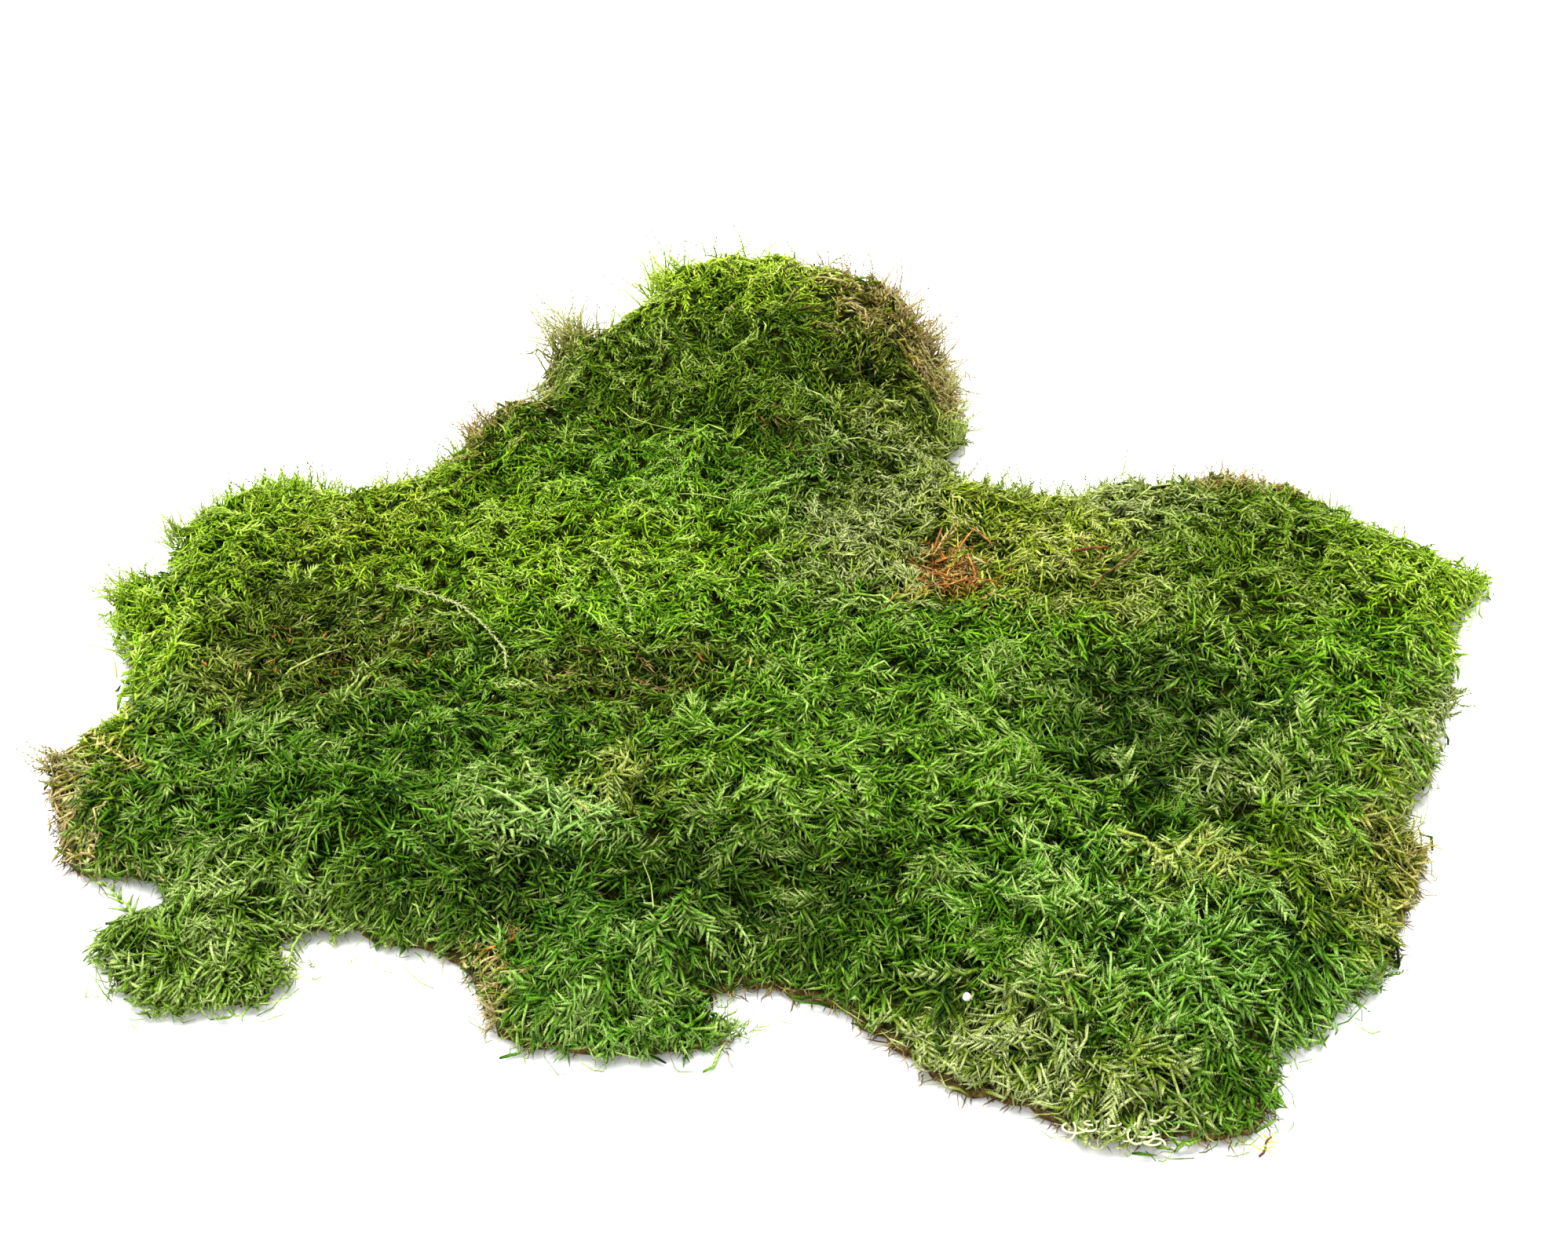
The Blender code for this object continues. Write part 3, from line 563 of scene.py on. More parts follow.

# %% [markdown]
# Which tone rules where was looked up on the real mat and written down as patches: a middle, two
# widths in millimetres, a tone and a pull. Painting a picture over the mat would be the other
# way, but a picture can't be changed patch by patch, and belongs to one mat only.

# %% Where each tone rules
# Some patches are painted light or shade, not only tone: the lime hill crest, the spring right tip and the
# left side are partly painted light, as these rims are lit from behind, and the patches in shadow_green are
# painted shade.
PATCHES = (
    ("left shoulder", -185, 70, 38, 22, "spring", 1.0),
    ("left shoulder olive", -150, 62, 34, 22, "yellow_olive", 0.9),
    ("bright turf", -90, 50, 52, 30, "spring", 1.15),
    ("bright turf front", -60, 20, 50, 22, "leaf_green", 1.0),
    ("hill left", -66, 135, 30, 42, "deep_green", 1.2),
    ("hill", -20, 122, 30, 34, "deep_green", 1.25),
    ("hill crest", -34, 184, 32, 14, "lime", 1.9),
    ("hill back", -20, 213, 60, 8, "leaf_green", 2.1),
    ("hill right rim", 30, 178, 28, 20, "fawn", 1.35),
    ("hill right edge", 52, 160, 13, 16, "fawn", 1.25),
    ("crest hay", 10, 186, 14, 9, "hay", 1.65),
    ("hill corner tuft", -86, 163, 11, 10, "hay", 1.6),
    ("hill right", 30, 128, 26, 28, "olive_grey", 1.0),
    ("hill foot", -14, 88, 42, 22, "fir_green", 1.05),
    ("hill foot bright", -48, 84, 34, 20, "leaf_green", 1.3),
    ("brown by the foot", -6, 102, 10, 7, "dark_olive", 1.1),
    ("saddle", 32, 70, 22, 32, "sage", 1.25),
    ("back rim left", -112, 118, 18, 14, "tan", 0.9),
    ("needle hollow", 54, 38, 11, 12, "rust", 1.15),
    ("yellow mound", 76, 60, 28, 20, "yellow_olive", 1.35),
    ("mound tan", 70, 54, 20, 11, "hay", 1.35),
    ("mound olive", 96, 26, 28, 18, "olive_grey", 1.1),
    ("yellow mound front", 78, 2, 44, 20, "leaf_green", 0.9),
    ("back rim grey", 116, 72, 30, 16, "sage", 1.1),
    ("back rim tan", 168, 92, 17, 8, "fawn", 1.4),
    ("right wing", 160, 44, 44, 34, "deep_green", 1.25),
    ("right tip", 224, 44, 22, 20, "spring", 1.7),
    ("right side", 190, -4, 30, 30, "leaf_green", 1.05),
    ("right light", 160, -58, 36, 24, "mid_green", 1.0),
    ("right pale feathers", 132, -61, 20, 7, "sage", 1.3),
    ("right shade", 121, -53, 30, 14, "shadow_green", 1.5),
    ("right rim", 205, -36, 12, 30, "sage", 1.15),
    ("right rim gaps", 186, -70, 12, 16, "olive_grey", 1.2),
    ("right rim low", 183, -98, 11, 20, "tan", 1.15),
    ("right rim inside", 170, -106, 14, 16, "olive_grey", 1.1),
    ("right low", 148, -96, 22, 22, "deep_green", 1.05),
    ("dark olive middle", 102, -28, 34, 18, "shadow_green", 1.35),
    ("brown left hollow", -158, -4, 42, 22, "dark_olive", 1.2),
    ("left side", -214, 4, 20, 36, "spring", 1.15),
    ("left side grey", -203, -25, 22, 18, "grey_green", 0.95),
    ("left hollow grey", -184, -14, 14, 12, "olive_grey", 1.2),
    ("brown middle hollow", -50, -14, 42, 14, "dark_olive", 1.2),
    ("tan tufts in it", -70, -16, 12, 8, "straw", 1.0),
    ("green between", -110, -14, 30, 22, "mid_green", 1.0),
    ("centre", 10, -36, 48, 34, "mid_green", 1.25),
    ("centre right", 60, -62, 46, 36, "mid_green", 1.15),
    ("centre deep", 50, -84, 40, 26, "fir_green", 0.95),
    ("front left deep", -140, -62, 64, 28, "fir_green", 1.15),
    ("front left blue", -110, -76, 34, 20, "teal", 0.8),
    ("shade pocket", -88, -100, 24, 12, "shadow_green", 1.1),
    ("teal pocket", -74, -82, 18, 12, "teal", 1.05),
    ("grey shoots", -52, -66, 26, 14, "olive_grey", 0.95),
    ("front middle", 0, -94, 40, 16, "shadow_green", 1.15),
    ("front middle olive", -15, -114, 34, 16, "shadow_green", 1.2),
    ("front middle lobe", -56, -128, 30, 24, "pine_green", 1.1),
    ("lobe fronds", -44, -140, 26, 14, "grey_green", 0.85),
    ("lobe rust rim", -91, -138, 8, 17, "fawn", 0.95),
    ("front left lobe", -174, -122, 34, 22, "grey_green", 1.25),
    ("front left lobe green", -188, -118, 18, 18, "mid_green", 0.9),
    ("small left lobe", -230, -54, 11, 20, "hay", 1.2),
    ("small left lobe top", -224, -38, 12, 10, "yellow_olive", 1.35),
    ("small left lobe rim", -234, -64, 9, 20, "fawn", 1.45),
    ("blue green shoots", 70, -106, 26, 22, "pine_green", 1.1),
    ("front right blue", 112, -134, 34, 30, "teal", 1.15),
    ("front right green", 106, -164, 34, 14, "fir_green", 1.3),
    ("front right olive", 114, -104, 22, 12, "olive_grey", 1.0),
    ("front apron", 50, -155, 18, 8, "sage", 1.5),
    ("front apron low", 76, -170, 20, 8, "sage", 1.5),
    ("above the apron", 44, -130, 30, 13, "fir_green", 1.3),
)
patch_places = np.array([row[1:5] for row in PATCHES], float)
patch_tones = np.array([TONE_AT[row[5]] for row in PATCHES])
patch_pull = np.array([row[6] for row in PATCHES])
LOOSE_PULL = 0.16
MIX_REACH = 0.35


def tones_at(x, y):
    """The two tones at each place, and the second one's share: of the patches with the strongest
    pull there. A pull falls off evenly with the distance from the patch's middle, measured in its
    own widths, and is shaken so that neighbours mix at their border."""
    across = (x[:, None] - patch_places[None, :, 0]) / patch_places[None, :, 2]
    along = (y[:, None] - patch_places[None, :, 1]) / patch_places[None, :, 3]
    pull = patch_pull[None, :] - 0.5 * np.sqrt(across**2 + along**2 + 1e-9)
    pull += LOOSE_PULL * rng.standard_normal(pull.shape)
    ranked = np.argsort(-pull, 1)[:, :2]
    strength = np.take_along_axis(pull, ranked, 1)
    share = 0.5 * np.clip(1 - (strength[:, 0] - strength[:, 1]) / MIX_REACH, 0, 1)
    return patch_tones[ranked[:, 0]], patch_tones[ranked[:, 1]], share


print("patches:", len(PATCHES))

# %% [markdown]
# The smallest thing that reads is one leafy shoot, under ten millimetres long. It is a closed
# spindle of three-cornered rings, each turned against the last, which gives a lumpy outline with
# two dozen faces. With one ring it is a plain pointed cone of four faces, for the finest shoots.
# Curves with a bevel would be rounder, but at ten times the faces.


# %% The faces of a leafy shoot
def shoot_faces(count, rings):
    """Faces of all the shoots: a closed base, two triangles from each corner of a ring to the next
    ring, and three up to the tip. A shoot's points are its rings' corners and then its tip."""
    each = 3 * rings + 1
    pattern = [(0, 1, 2)]
    for j in range(rings - 1):
        for i in range(3):
            a, b = 3 * j + i, 3 * j + (i + 1) % 3
            pattern += [(b, a, a + 3), (b, a + 3, b + 3)]
    pattern += [(each - 4 + (i + 1) % 3, each - 4 + i, each - 1) for i in range(3)]
    return (np.arange(count)[:, None, None] * each + np.array(pattern)[None]).reshape(-1, 3)


print("faces of a shoot with 1, 3 and 5 rings:", [len(shoot_faces(1, rings)) for rings in (1, 3, 5)])

# %% [markdown]
# All the points come from one formula, for thousands of shoots at once. A row of numbers is a
# shoot: where it starts, which way it grows, how long and wide it is, how it bends, its tones,
# and how old its leaves are at its base and at its tip.

# %% One formula for all leafy shoots
RING_TURN = math.pi / 3
BODY_SHARE = 0.43
FLOOR_GAP = 0.25
LAST_RING = 0.72
WOBBLE = 0.06
AGE_WOBBLE = 0.03


def leafy_shoots(start, way, up, length, width, bend, tones, age, rings):
    """Shoots as closed spindles. A point of the stem is start + way * length * t + bend * t * t.
    Ring j has three corners round the stem, turned by 60 degrees from ring j - 1, at a distance
    of the width times a spindle profile, each shaken a little, as is the ring's middle. The rings
    take up the first three quarters, and the last point is the tip.
    What would end below the floor's gap is raised to it."""
    count = len(start)
    t = np.linspace(0, LAST_RING, rings)[None, :, None]
    reach = (way * length[:, None])[:, None, :]
    curve = bend[:, None, :]
    along = unit(reach + 2 * curve * t)
    across = unit(np.cross(along, up[:, None, :]))
    over = np.cross(across, along)
    shaken = rng.normal(0, WOBBLE, (count, rings, 3)) * length[:, None, None] * (t > 0)
    middle = start[:, None, :] + reach * t + curve * t**2 + shaken
    profile = (0.6 + 0.4 * np.minimum(t / 0.25, 1)) * (1 - 0.62 * t**2)
    turn = rng.uniform(0, 2 * math.pi, (count, 1, 1)) + np.arange(rings)[None, :, None] * RING_TURN
    turn = turn + np.arange(3)[None, None, :] * (2 * math.pi / 3)
    thick = BODY_SHARE * width[:, None, None] * profile
    middle[..., 2] = np.maximum(middle[..., 2], FLOOR_GAP + 1.3 * thick[..., 0])
    away = thick * rng.uniform(0.7, 1.3, (count, rings, 3))
    ring = middle[:, :, None, :] + away[..., None] * (
        np.cos(turn)[..., None] * across[:, :, None, :] + np.sin(turn)[..., None] * over[:, :, None, :]
    )
    tip = start + reach[:, 0] + bend
    tip[:, 2] = np.maximum(tip[:, 2], 2 * FLOOR_GAP)
    points = np.concatenate([ring.reshape(count, -1, 3), tip[:, None, :]], 1).reshape(-1, 3)
    each = 3 * rings + 1
    along_share = np.append(np.repeat(t.ravel(), 3), 1.0)[None, :]
    ages = age[:, 0, None] + (age[:, 1] - age[:, 0])[:, None] * along_share
    ages = np.clip(ages + rng.normal(0, AGE_WOBBLE, ages.shape), 0.01, 0.99)
    return {
        "points": points,
        "faces": shoot_faces(count, rings),
        "tone": np.column_stack([np.repeat(tones[0], each), np.repeat(tones[1], each)]),
        "growth": np.column_stack([np.repeat(tones[2], each), ages.ravel()]),
        "foot": start[:, :2],
        "each": np.full(count, each),
    }


# %% [markdown]
# Shoots by the thousand are joined into one piece. When a colour is baked for an export, each
# shoot needs a spot of its own on a flat picture. Unwrapping a million triangles would take
# hours, so the spots are worked out: a shoot is one upright column, and its age is the height.

# %% Join shoots into one piece
STRIP = 12.0
BAKE_CELL = 0.6 / 1024


def join_pairs(pairs):
    """Several (points, faces) pairs as one."""
    starts = np.cumsum([0] + [len(points) for points, _ in pairs[:-1]])
    return np.vstack([p for p, _ in pairs]), np.vstack([f + start for (_, f), start in zip(pairs, starts)])


def join_parts(parts):
    """Several sets of shoots as one. The OFBake map gives each shoot a column of its own, in the
    order of strips across the plan, so that shoots of like colour are neighbours, and its age is
    the height in that column."""
    points, faces = join_pairs([(part["points"], part["faces"]) for part in parts])
    tone, growth, foot = (np.vstack([part[key] for part in parts]) for key in ("tone", "growth", "foot"))
    each = np.concatenate([part["each"] for part in parts])
    strip = np.floor(foot[:, 1] / STRIP)
    order = np.lexsort((np.where(strip % 2 == 0, foot[:, 0], -foot[:, 0]), strip))
    rank = np.empty(len(order))
    rank[order] = (np.arange(len(order)) + 0.5) / len(order)
    column = np.repeat(rank, each) * (1 - 8 * BAKE_CELL) + 4 * BAKE_CELL
    column += np.where(np.arange(len(column)) % 2 == 0, BAKE_CELL, -BAKE_CELL)
    return points, faces, {"tone": tone, "growth": growth, "OFBake": np.column_stack([column, growth[:, 1]])}


# %% [markdown]
# Shoots aren't scattered evenly like grass: neighbouring fronds lie the same way, as if combed.
# So there is a map of directions. Moss grows downhill and out over its edge, and a slow wave and
# a few swirls keep it from looking raked. The back is fine turf, the front coarse and feathery.

# %% The way the fronds lie
out_slope_y, out_slope_x = np.gradient(edge_map, GRID_STEP)


def flow_heading(x, y):
    """Direction of growth in radians: down the slopes and out over the edge, turned by a slow wave
    and by swirls about as wide as a hand."""
    near_edge = np.clip(1 - read(edge_map, x, y) / 24, 0, 1)
    out_x = -read(out_slope_x, x, y) * near_edge * 2.0 - read(slope_x, x, y) * 0.9
    out_y = -read(out_slope_y, x, y) * near_edge * 2.0 - read(slope_y, x, y) * 0.9 - 0.2
    wave = 1.6 * np.sin(x / 41 + 1.4 * np.sin(y / 47)) + read(turn_map, x, y)
    return np.arctan2(out_y + 0.9 * np.sin(wave), out_x + 0.9 * np.cos(wave)) + 0.4 * read(turn_map, y, x)


def coarseness(x, y):
    """From 0 in the fine turf of the back to 1 in the coarse feathery front."""
    front = np.clip((40 - y) / 90, 0, 1)
    return np.clip(0.75 * front + 0.25 * np.clip((x + 40) / 120, 0, 1), 0, 1)


back_and_front = coarseness(np.zeros(2), np.array([150.0, -150.0]))
print("coarseness at the back and the front:", back_and_front.tolist())

# %% [markdown]
# Next come the places. Blender's scatter node could give them, and so does a fine grid that is
# shaken, with some of its points dropped. Where the ground is steep more of them are kept, or the
# hill's sides would look thin from the front.


# %% Places for the shoots
def scatter(spacing_fine, spacing_coarse, margin):
    """Places over the mat, closer where the moss is fine or the ground is steep: a fine jittered
    grid, of which each place is kept with the chance that gives the wanted spacing."""
    step = min(spacing_fine, spacing_coarse) * 0.7
    x, y = np.meshgrid(np.arange(GRID_X[0], GRID_X[-1], step), np.arange(GRID_Y[0], GRID_Y[-1], step))
    x = (x + rng.uniform(-0.5, 0.5, x.shape) * step).ravel()
    y = (y + rng.uniform(-0.5, 0.5, y.shape) * step).ravel()
    spacing = spacing_fine + (spacing_coarse - spacing_fine) * coarseness(x, y)
    steep = np.sqrt(1 + read(slope_x, x, y) ** 2 + read(slope_y, x, y) ** 2)
    keep = rng.random(len(x)) < (step / spacing) ** 2 * np.minimum(steep, 2.0)
    keep &= read(edge_map, x, y) > margin
    return x[keep], y[keep]


frond_x, frond_y = scatter(4.2, 5.8, 0.5)
loose_x, loose_y = scatter(4.1, 3.9, 0.3)
kept = rng.random(len(loose_x)) < np.clip(0.96 + 3.0 * read(light_map, loose_x, loose_y), 0.6, 1)
loose_x, loose_y = loose_x[kept], loose_y[kept]
under_x, under_y = scatter(4.8, 4.8, 0.3)
print("fronds:", len(frond_x), "loose shoots:", len(loose_x), "understory:", len(under_x))

# %% [markdown]
# Feather moss has its name from its fronds: a stem with side shoots left and right. First comes
# each stem's route. It starts deep in the mat, follows the surface with a sway to one side, and
# rises to its tip. Fronds that would end too far outside are moved back over the edge.

# %% Routes of the fronds
FROND_LENGTH = (12, 20)
FROND_TURN = 0.5
FROND_SWAY = 0.44
FROND_SINK = (2.0, 5.5)
FROND_LIFT = (-2.4, 1.6)
FROND_OVERHANG = (-4.0, 1.2)


def frond_routes(x, y, branches):
    """The joints of fronds with their middles at the given places, each joint's share of the way
    along, each frond's size against the average, and its lift at the tip. A joint's plan place is
    root + ahead * length * s + aside * length * sway * s * s."""
    count = len(x)
    c = coarseness(x, y)
    size = (0.86 + 0.14 * c) * rng.uniform(0.8, 1.2, count)
    length = rng.uniform(*FROND_LENGTH, count) * (1 + 0.3 * c) * size
    heading = flow_heading(x, y) + rng.normal(0, FROND_TURN, count)
    sway = rng.normal(0, FROND_SWAY, count)
    ahead = np.column_stack([np.cos(heading), np.sin(heading)])
    aside = np.column_stack([-np.sin(heading), np.cos(heading)])
    share = np.linspace(0.06, 1, branches)[None, :, None]
    root = np.column_stack([x, y]) - 0.55 * ahead * length[:, None]
    tip = root + (ahead + aside * sway[:, None]) * length[:, None]
    allowed = rng.uniform(*FROND_OVERHANG, count) + 1.2 * np.clip(y / 60, 0, 1)
    for _ in range(2):
        over = np.maximum(-read(edge_map, tip[:, 0], tip[:, 1]) - allowed, 0)[:, None]
        inward = np.column_stack([read(slope, tip[:, 0], tip[:, 1]) for slope in (out_slope_x, out_slope_y)])
        root, tip = root + unit(inward) * over, tip + unit(inward) * over
    shift = ahead[:, None, :] * share + aside[:, None, :] * sway[:, None, None] * share**2
    level = root[:, None, :] + shift * length[:, None, None]
    sink = rng.uniform(*FROND_SINK, count)[:, None]
    lift = rng.uniform(*FROND_LIFT, count)[:, None]
    s = share[:, :, 0]
    z = read(height_map, level[..., 0], level[..., 1]) - sink * (1 - s) ** 1.4 + lift * s
    z = np.maximum(z, 1.2 + 1.2 * rng.random((count, 1)))
    return np.concatenate([level, z[..., None]], 2), s, size, lift


# %% [markdown]
# Then each joint gets a fine pointed side shoot, left and right in turn, longest in the middle
# of the frond, and the last one goes straight on. The stem itself is one longer leafy shoot,
# bent so that it runs through the frond's first, middle and last joint.

# %% Fronds like feathers
SIDE_SPREAD = (0.55, 1.0)
SIDE_LENGTH = (2.9, 4.1)
SIDE_WIDTH = (1.9, 2.5)
STEM_WIDTH = 0.55
STEM_RINGS = 5
OWN_LIGHT = 0.11


def left_right(count):
    """1 and -1 in turn, for shoots on the left and the right of a stem."""
    return np.where(np.arange(count) % 2 == 0, 1.0, -1.0)[None, :, None]


def flat(values):
    """Drops the frond axis, so that each side shoot has a row of its own."""
    return values.reshape(-1, *values.shape[2:])


def grow_fronds(x, y, branches):
    """Fronds with their middles at the given places: a fine side shoot at each joint, its way
    run * cos(spread) + side * sin(spread) + normal * climb, and the stem under them."""
    count = len(x)
    c = coarseness(x, y)
    joint, s, size, lift = frond_routes(x, y, branches)
    run = unit(np.gradient(joint, axis=1))
    normal = surface_normals(joint[..., 0], joint[..., 1])
    side = unit(np.cross(normal, run))
    spread = rng.uniform(*SIDE_SPREAD, (count, 1, 1)) + rng.normal(0, 0.2, (count, branches, 1))
    spread[:, -1] = rng.normal(0, 0.1, (count, 1))
    climb = rng.normal(0.16, 0.2, (count, branches, 1))
    way = unit(run * np.cos(spread) + side * left_right(branches) * np.sin(spread) + normal * climb)
    taper = np.clip(0.5 + 2.0 * s * (1.02 - s), 0.35, 1)
    reach = rng.uniform(*SIDE_LENGTH, count) * (1 + 0.72 * c) * size
    side_length = rng.uniform(0.75, 1.25, (count, branches)) * reach[:, None] * taper
    side_width = rng.uniform(*SIDE_WIDTH, (count, 1)) * ((1 + 0.3 * c) * size)[:, None]
    side_width = side_width * np.ones((1, branches))
    bend = run * side_length[..., None] * rng.uniform(0.0, 0.35, (count, branches, 1))
    bend = bend - normal * side_length[..., None] * rng.uniform(-0.15, 0.35, (count, branches, 1))
    first, second, mixed = tones_at(x, y)
    # Painted light and shade: the light_map of the place, and a frond that lifts its tip higher is lighter.
    # Along the frond the sunk root is darker, partly for its age and partly as painted shade.
    own = (read(light_map, x, y) + 0.02 * lift[:, 0] + rng.normal(0, OWN_LIGHT, count))[:, None]
    fresh = 0.54 + 0.26 * s + own + rng.normal(0, 0.05, (count, branches))
    age = np.stack([fresh - 0.36, fresh + 0.18], -1)
    mixed_each = np.clip(np.repeat(mixed, branches) + rng.normal(0, 0.05, count * branches), 0, 1)
    side_tones = (np.repeat(first, branches), np.repeat(second, branches), mixed_each)
    side_rows = [flat(values) for values in (joint, way, normal, side_length, side_width, bend)]
    sides = leafy_shoots(*side_rows, side_tones, flat(age), 1)
    foot, top, waist = joint[:, 0], joint[:, -1], joint[:, branches // 2]
    arch = 2 * (foot + top) - 4 * waist
    line = top - foot - arch
    stem_age = np.column_stack([0.2 + own, 0.7 + own])
    stem_size = (np.linalg.norm(line, axis=1), side_width[:, 0] * STEM_WIDTH)
    stem_rows = (foot, unit(line), normal[:, 0], *stem_size, arch)
    stem = leafy_shoots(*stem_rows, (first, second, mixed), stem_age, STEM_RINGS)
    return [sides, stem]


# %% [markdown]
# Fronds alone look too orderly. Between them grow single shoots, each at a climb of its own, bent
# to one side, and sunk so deep that only their tips come up.

# %% Loose shoots between the fronds
LOOSE_CLIMB = (0.0, 0.85)
LOOSE_WIDTH = (1.2, 1.9)
LOOSE_ABOVE = (-2.4, 1.4)
LOOSE_RINGS = 3


def level_ways(angle):
    """Level directions at angles in radians."""
    return np.column_stack([np.cos(angle), np.sin(angle), np.zeros(len(angle))])


def along_surface(level, normal):
    """The part of each direction that lies in the surface."""
    return level - normal * (level * normal).sum(1)[:, None]


def grow_loose(x, y, rings):
    """Single shoots: way is level * cos(climb) + normal * sin(climb), and the start is half a
    length back and most of the climb's height down, so the tip ends at the surface or above it."""
    count = len(x)
    size = (0.72 + 0.24 * coarseness(x, y)) * rng.uniform(0.75, 1.25, count)
    length = rng.uniform(0.6, 1.4, count) * (4.6 + 2.6 * coarseness(x, y)) * size
    heading = flow_heading(x, y) + rng.normal(0, 1.3 - 0.6 * coarseness(x, y))
    climb = rng.uniform(*LOOSE_CLIMB, count)
    edge = read(edge_map, x, y)
    climb = np.where(edge < 7, climb * np.clip(edge / 7, 0.0, 1) - 0.25 * (edge < 3), climb)
    normal = surface_normals(x, y)
    level = unit(along_surface(level_ways(heading), normal))
    way = level * np.cos(climb)[:, None] + normal * np.sin(climb)[:, None]
    above = rng.uniform(*LOOSE_ABOVE, count)
    start_x = x - 0.5 * length * way[:, 0]
    start_y = y - 0.5 * length * way[:, 1]
    z = read(height_map, start_x, start_y) - np.maximum(length * np.sin(climb), 0) * 0.8 + above
    start = np.column_stack([start_x, start_y, np.maximum(z, 1.4)])
    width = rng.uniform(*LOOSE_WIDTH, count) * size
    bend = level * (length * rng.uniform(0, 0.3, count))[:, None]
    bend[:, 2] -= length * rng.uniform(-0.15, 0.4, count)
    bend += unit(np.cross(normal, level)) * (length * rng.normal(0, 0.48, count))[:, None]
    first, second, mixed = tones_at(x, y)
    mixed = np.clip(mixed + rng.normal(0, 0.06, count), 0, 1)
    # Painted light and shade: a shoot that stands higher is lighter, and the light_map of its place adds its
    # painted light and shade.
    fresh = 0.66 + 0.05 * above + read(light_map, x, y) + rng.normal(0, 0.09, count)
    age = np.column_stack([fresh - 0.54, fresh + 0.16])
    return leafy_shoots(start, way, normal, length, width, bend, (first, second, mixed), age, rings)


# %% [markdown]
# A look into the moss meets older shoots a few millimetres down, which lie every way round. They
# are darker, partly for their age and partly as painted shade deep in the mat. They fill the
# gaps, and they are plain, because only bits of them show.

# %% The understory
UNDER_LENGTH = (5, 9)
UNDER_DEPTH = (1.2, 3.6)
UNDER_WIDTH = (1.2, 1.9)
UNDER_RINGS = 2


def grow_understory(x, y):
    """Short dark shoots, each with its middle at its place and at a depth of its own, which is less
    near the edge."""
    count = len(x)
    angle = rng.uniform(0, 2 * math.pi, count)
    normal = surface_normals(x, y)
    way = unit(along_surface(level_ways(angle), normal) + normal * rng.uniform(-0.1, 0.5, (count, 1)))
    length = rng.uniform(*UNDER_LENGTH, count)
    near_edge = np.clip(read(edge_map, x, y) / 12, 0, 1)
    down = rng.uniform(*UNDER_DEPTH, count) * (0.35 + 0.65 * near_edge)
    z = np.maximum(read(height_map, x, y) - down, 1.8)
    start = np.column_stack([x, y, z]) - way * (0.5 * length)[:, None]
    start[:, 2] = np.maximum(start[:, 2], 1.6)
    bend = rng.normal(0, 0.1, (count, 3)) * length[:, None]
    first, second, mixed = tones_at(x, y)
    fresh = rng.normal(0.4, 0.07, count)
    age = np.column_stack([fresh - 0.14, fresh + 0.14])
    width = rng.uniform(*UNDER_WIDTH, count)
    return leafy_shoots(start, way, normal, length, width, bend, (first, second, mixed), age, UNDER_RINGS)


# %% [markdown]
# Each piece of moss moves with the mat's one body, and stands for the solid of its form. Both
# have to be said for every piece, so one more helper says them, and prints the piece's size.


# %% A finished piece
def put_piece(name, points, faces, look, slot, stands_for=None, maps=None, smooth=True):
    """Puts in a piece from points in millimetres, in the mat's body, and in place of the solid that it
    stands for. The slot argument is not used."""
    piece = put_mesh(name, points * MM, faces, look, maps, smooth)
    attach(piece, "root")
    if stands_for:
        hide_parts(stands_for)
    print(name, "triangles:", len(faces) * (faces.shape[1] - 2))


# %% [markdown]
# All the turf in one mesh would be too heavy to open or export, so it is grown in six zones.
# Their borders don't show, because shoots of one zone reach over into the next. The fronds at
# the front are larger, and get more side shoots.

# %% Grow the turf, zone by zone
ZONES = (
    ("shoots_hill", (-999, 999, 92, 999), 16),
    ("shoots_left_turf", (-999, -80, -20, 92), 16),
    ("shoots_middle", (-80, 60, -20, 92), 16),
    ("shoots_right_wing", (60, 999, -20, 92), 16),
    ("shoots_front_left", (-999, -20, -999, -20), 22),
    ("shoots_front_right", (-20, 999, -999, -20), 22),
)


def in_zone(x, y, zone):
    """The places that are between a zone's lowest and highest x and y."""
    chosen = (x > zone[0]) & (x <= zone[1]) & (y > zone[2]) & (y <= zone[3])
    return x[chosen], y[chosen]


for name, zone, branches in ZONES:
    parts = grow_fronds(*in_zone(frond_x, frond_y, zone), branches)
    parts.append(grow_loose(*in_zone(loose_x, loose_y, zone), LOOSE_RINGS))
    parts.append(grow_understory(*in_zone(under_x, under_y, zone)))
    points, faces, maps = join_parts(parts)
    put_piece(name, points, faces, moss_leaves, "living_moss", "moss_carpet", maps)

# %% [markdown]
# A torn mat has no clean border. Shoots hang over the rim and down its side to the ground, some
# fall short and some reach far out. To control how far, a rim shoot is made backwards: its tip is
# placed first, and its start is worked out from it.

# %% Shoots that are placed by their tips
rim_height = np.maximum(read(height_map, *border_places.T), 2.0)
ragged = np.clip(noise_field(4, 41), -1.3, 2.4)


def out_of_mat(x, y):
    """The level direction straight out over the edge."""
    return -unit(np.stack([read(out_slope_x, x, y), read(out_slope_y, x, y)], -1))


def along_edge(count, inward, pull):
    """Random places along the mat's edge, a given way inside it, each with its outward direction.
    With a pull above 0 more of them are where the rim is high."""
    chance = 1 + pull * rim_height
    chosen = rng.choice(len(border_places), count, p=chance / chance.sum())
    x, y = (border_places[chosen] + rng.uniform(-1, 1, (count, 2))).T
    out = out_of_mat(x, y)
    return x - out[:, 0] * inward, y - out[:, 1] * inward, out


def turned_level(out, turn):
    """Level directions turned by an angle, as rows of x and y."""
    c, s = np.cos(turn), np.sin(turn)
    return np.stack([out[:, 0] * c - out[:, 1] * s, out[:, 0] * s + out[:, 1] * c], -1)


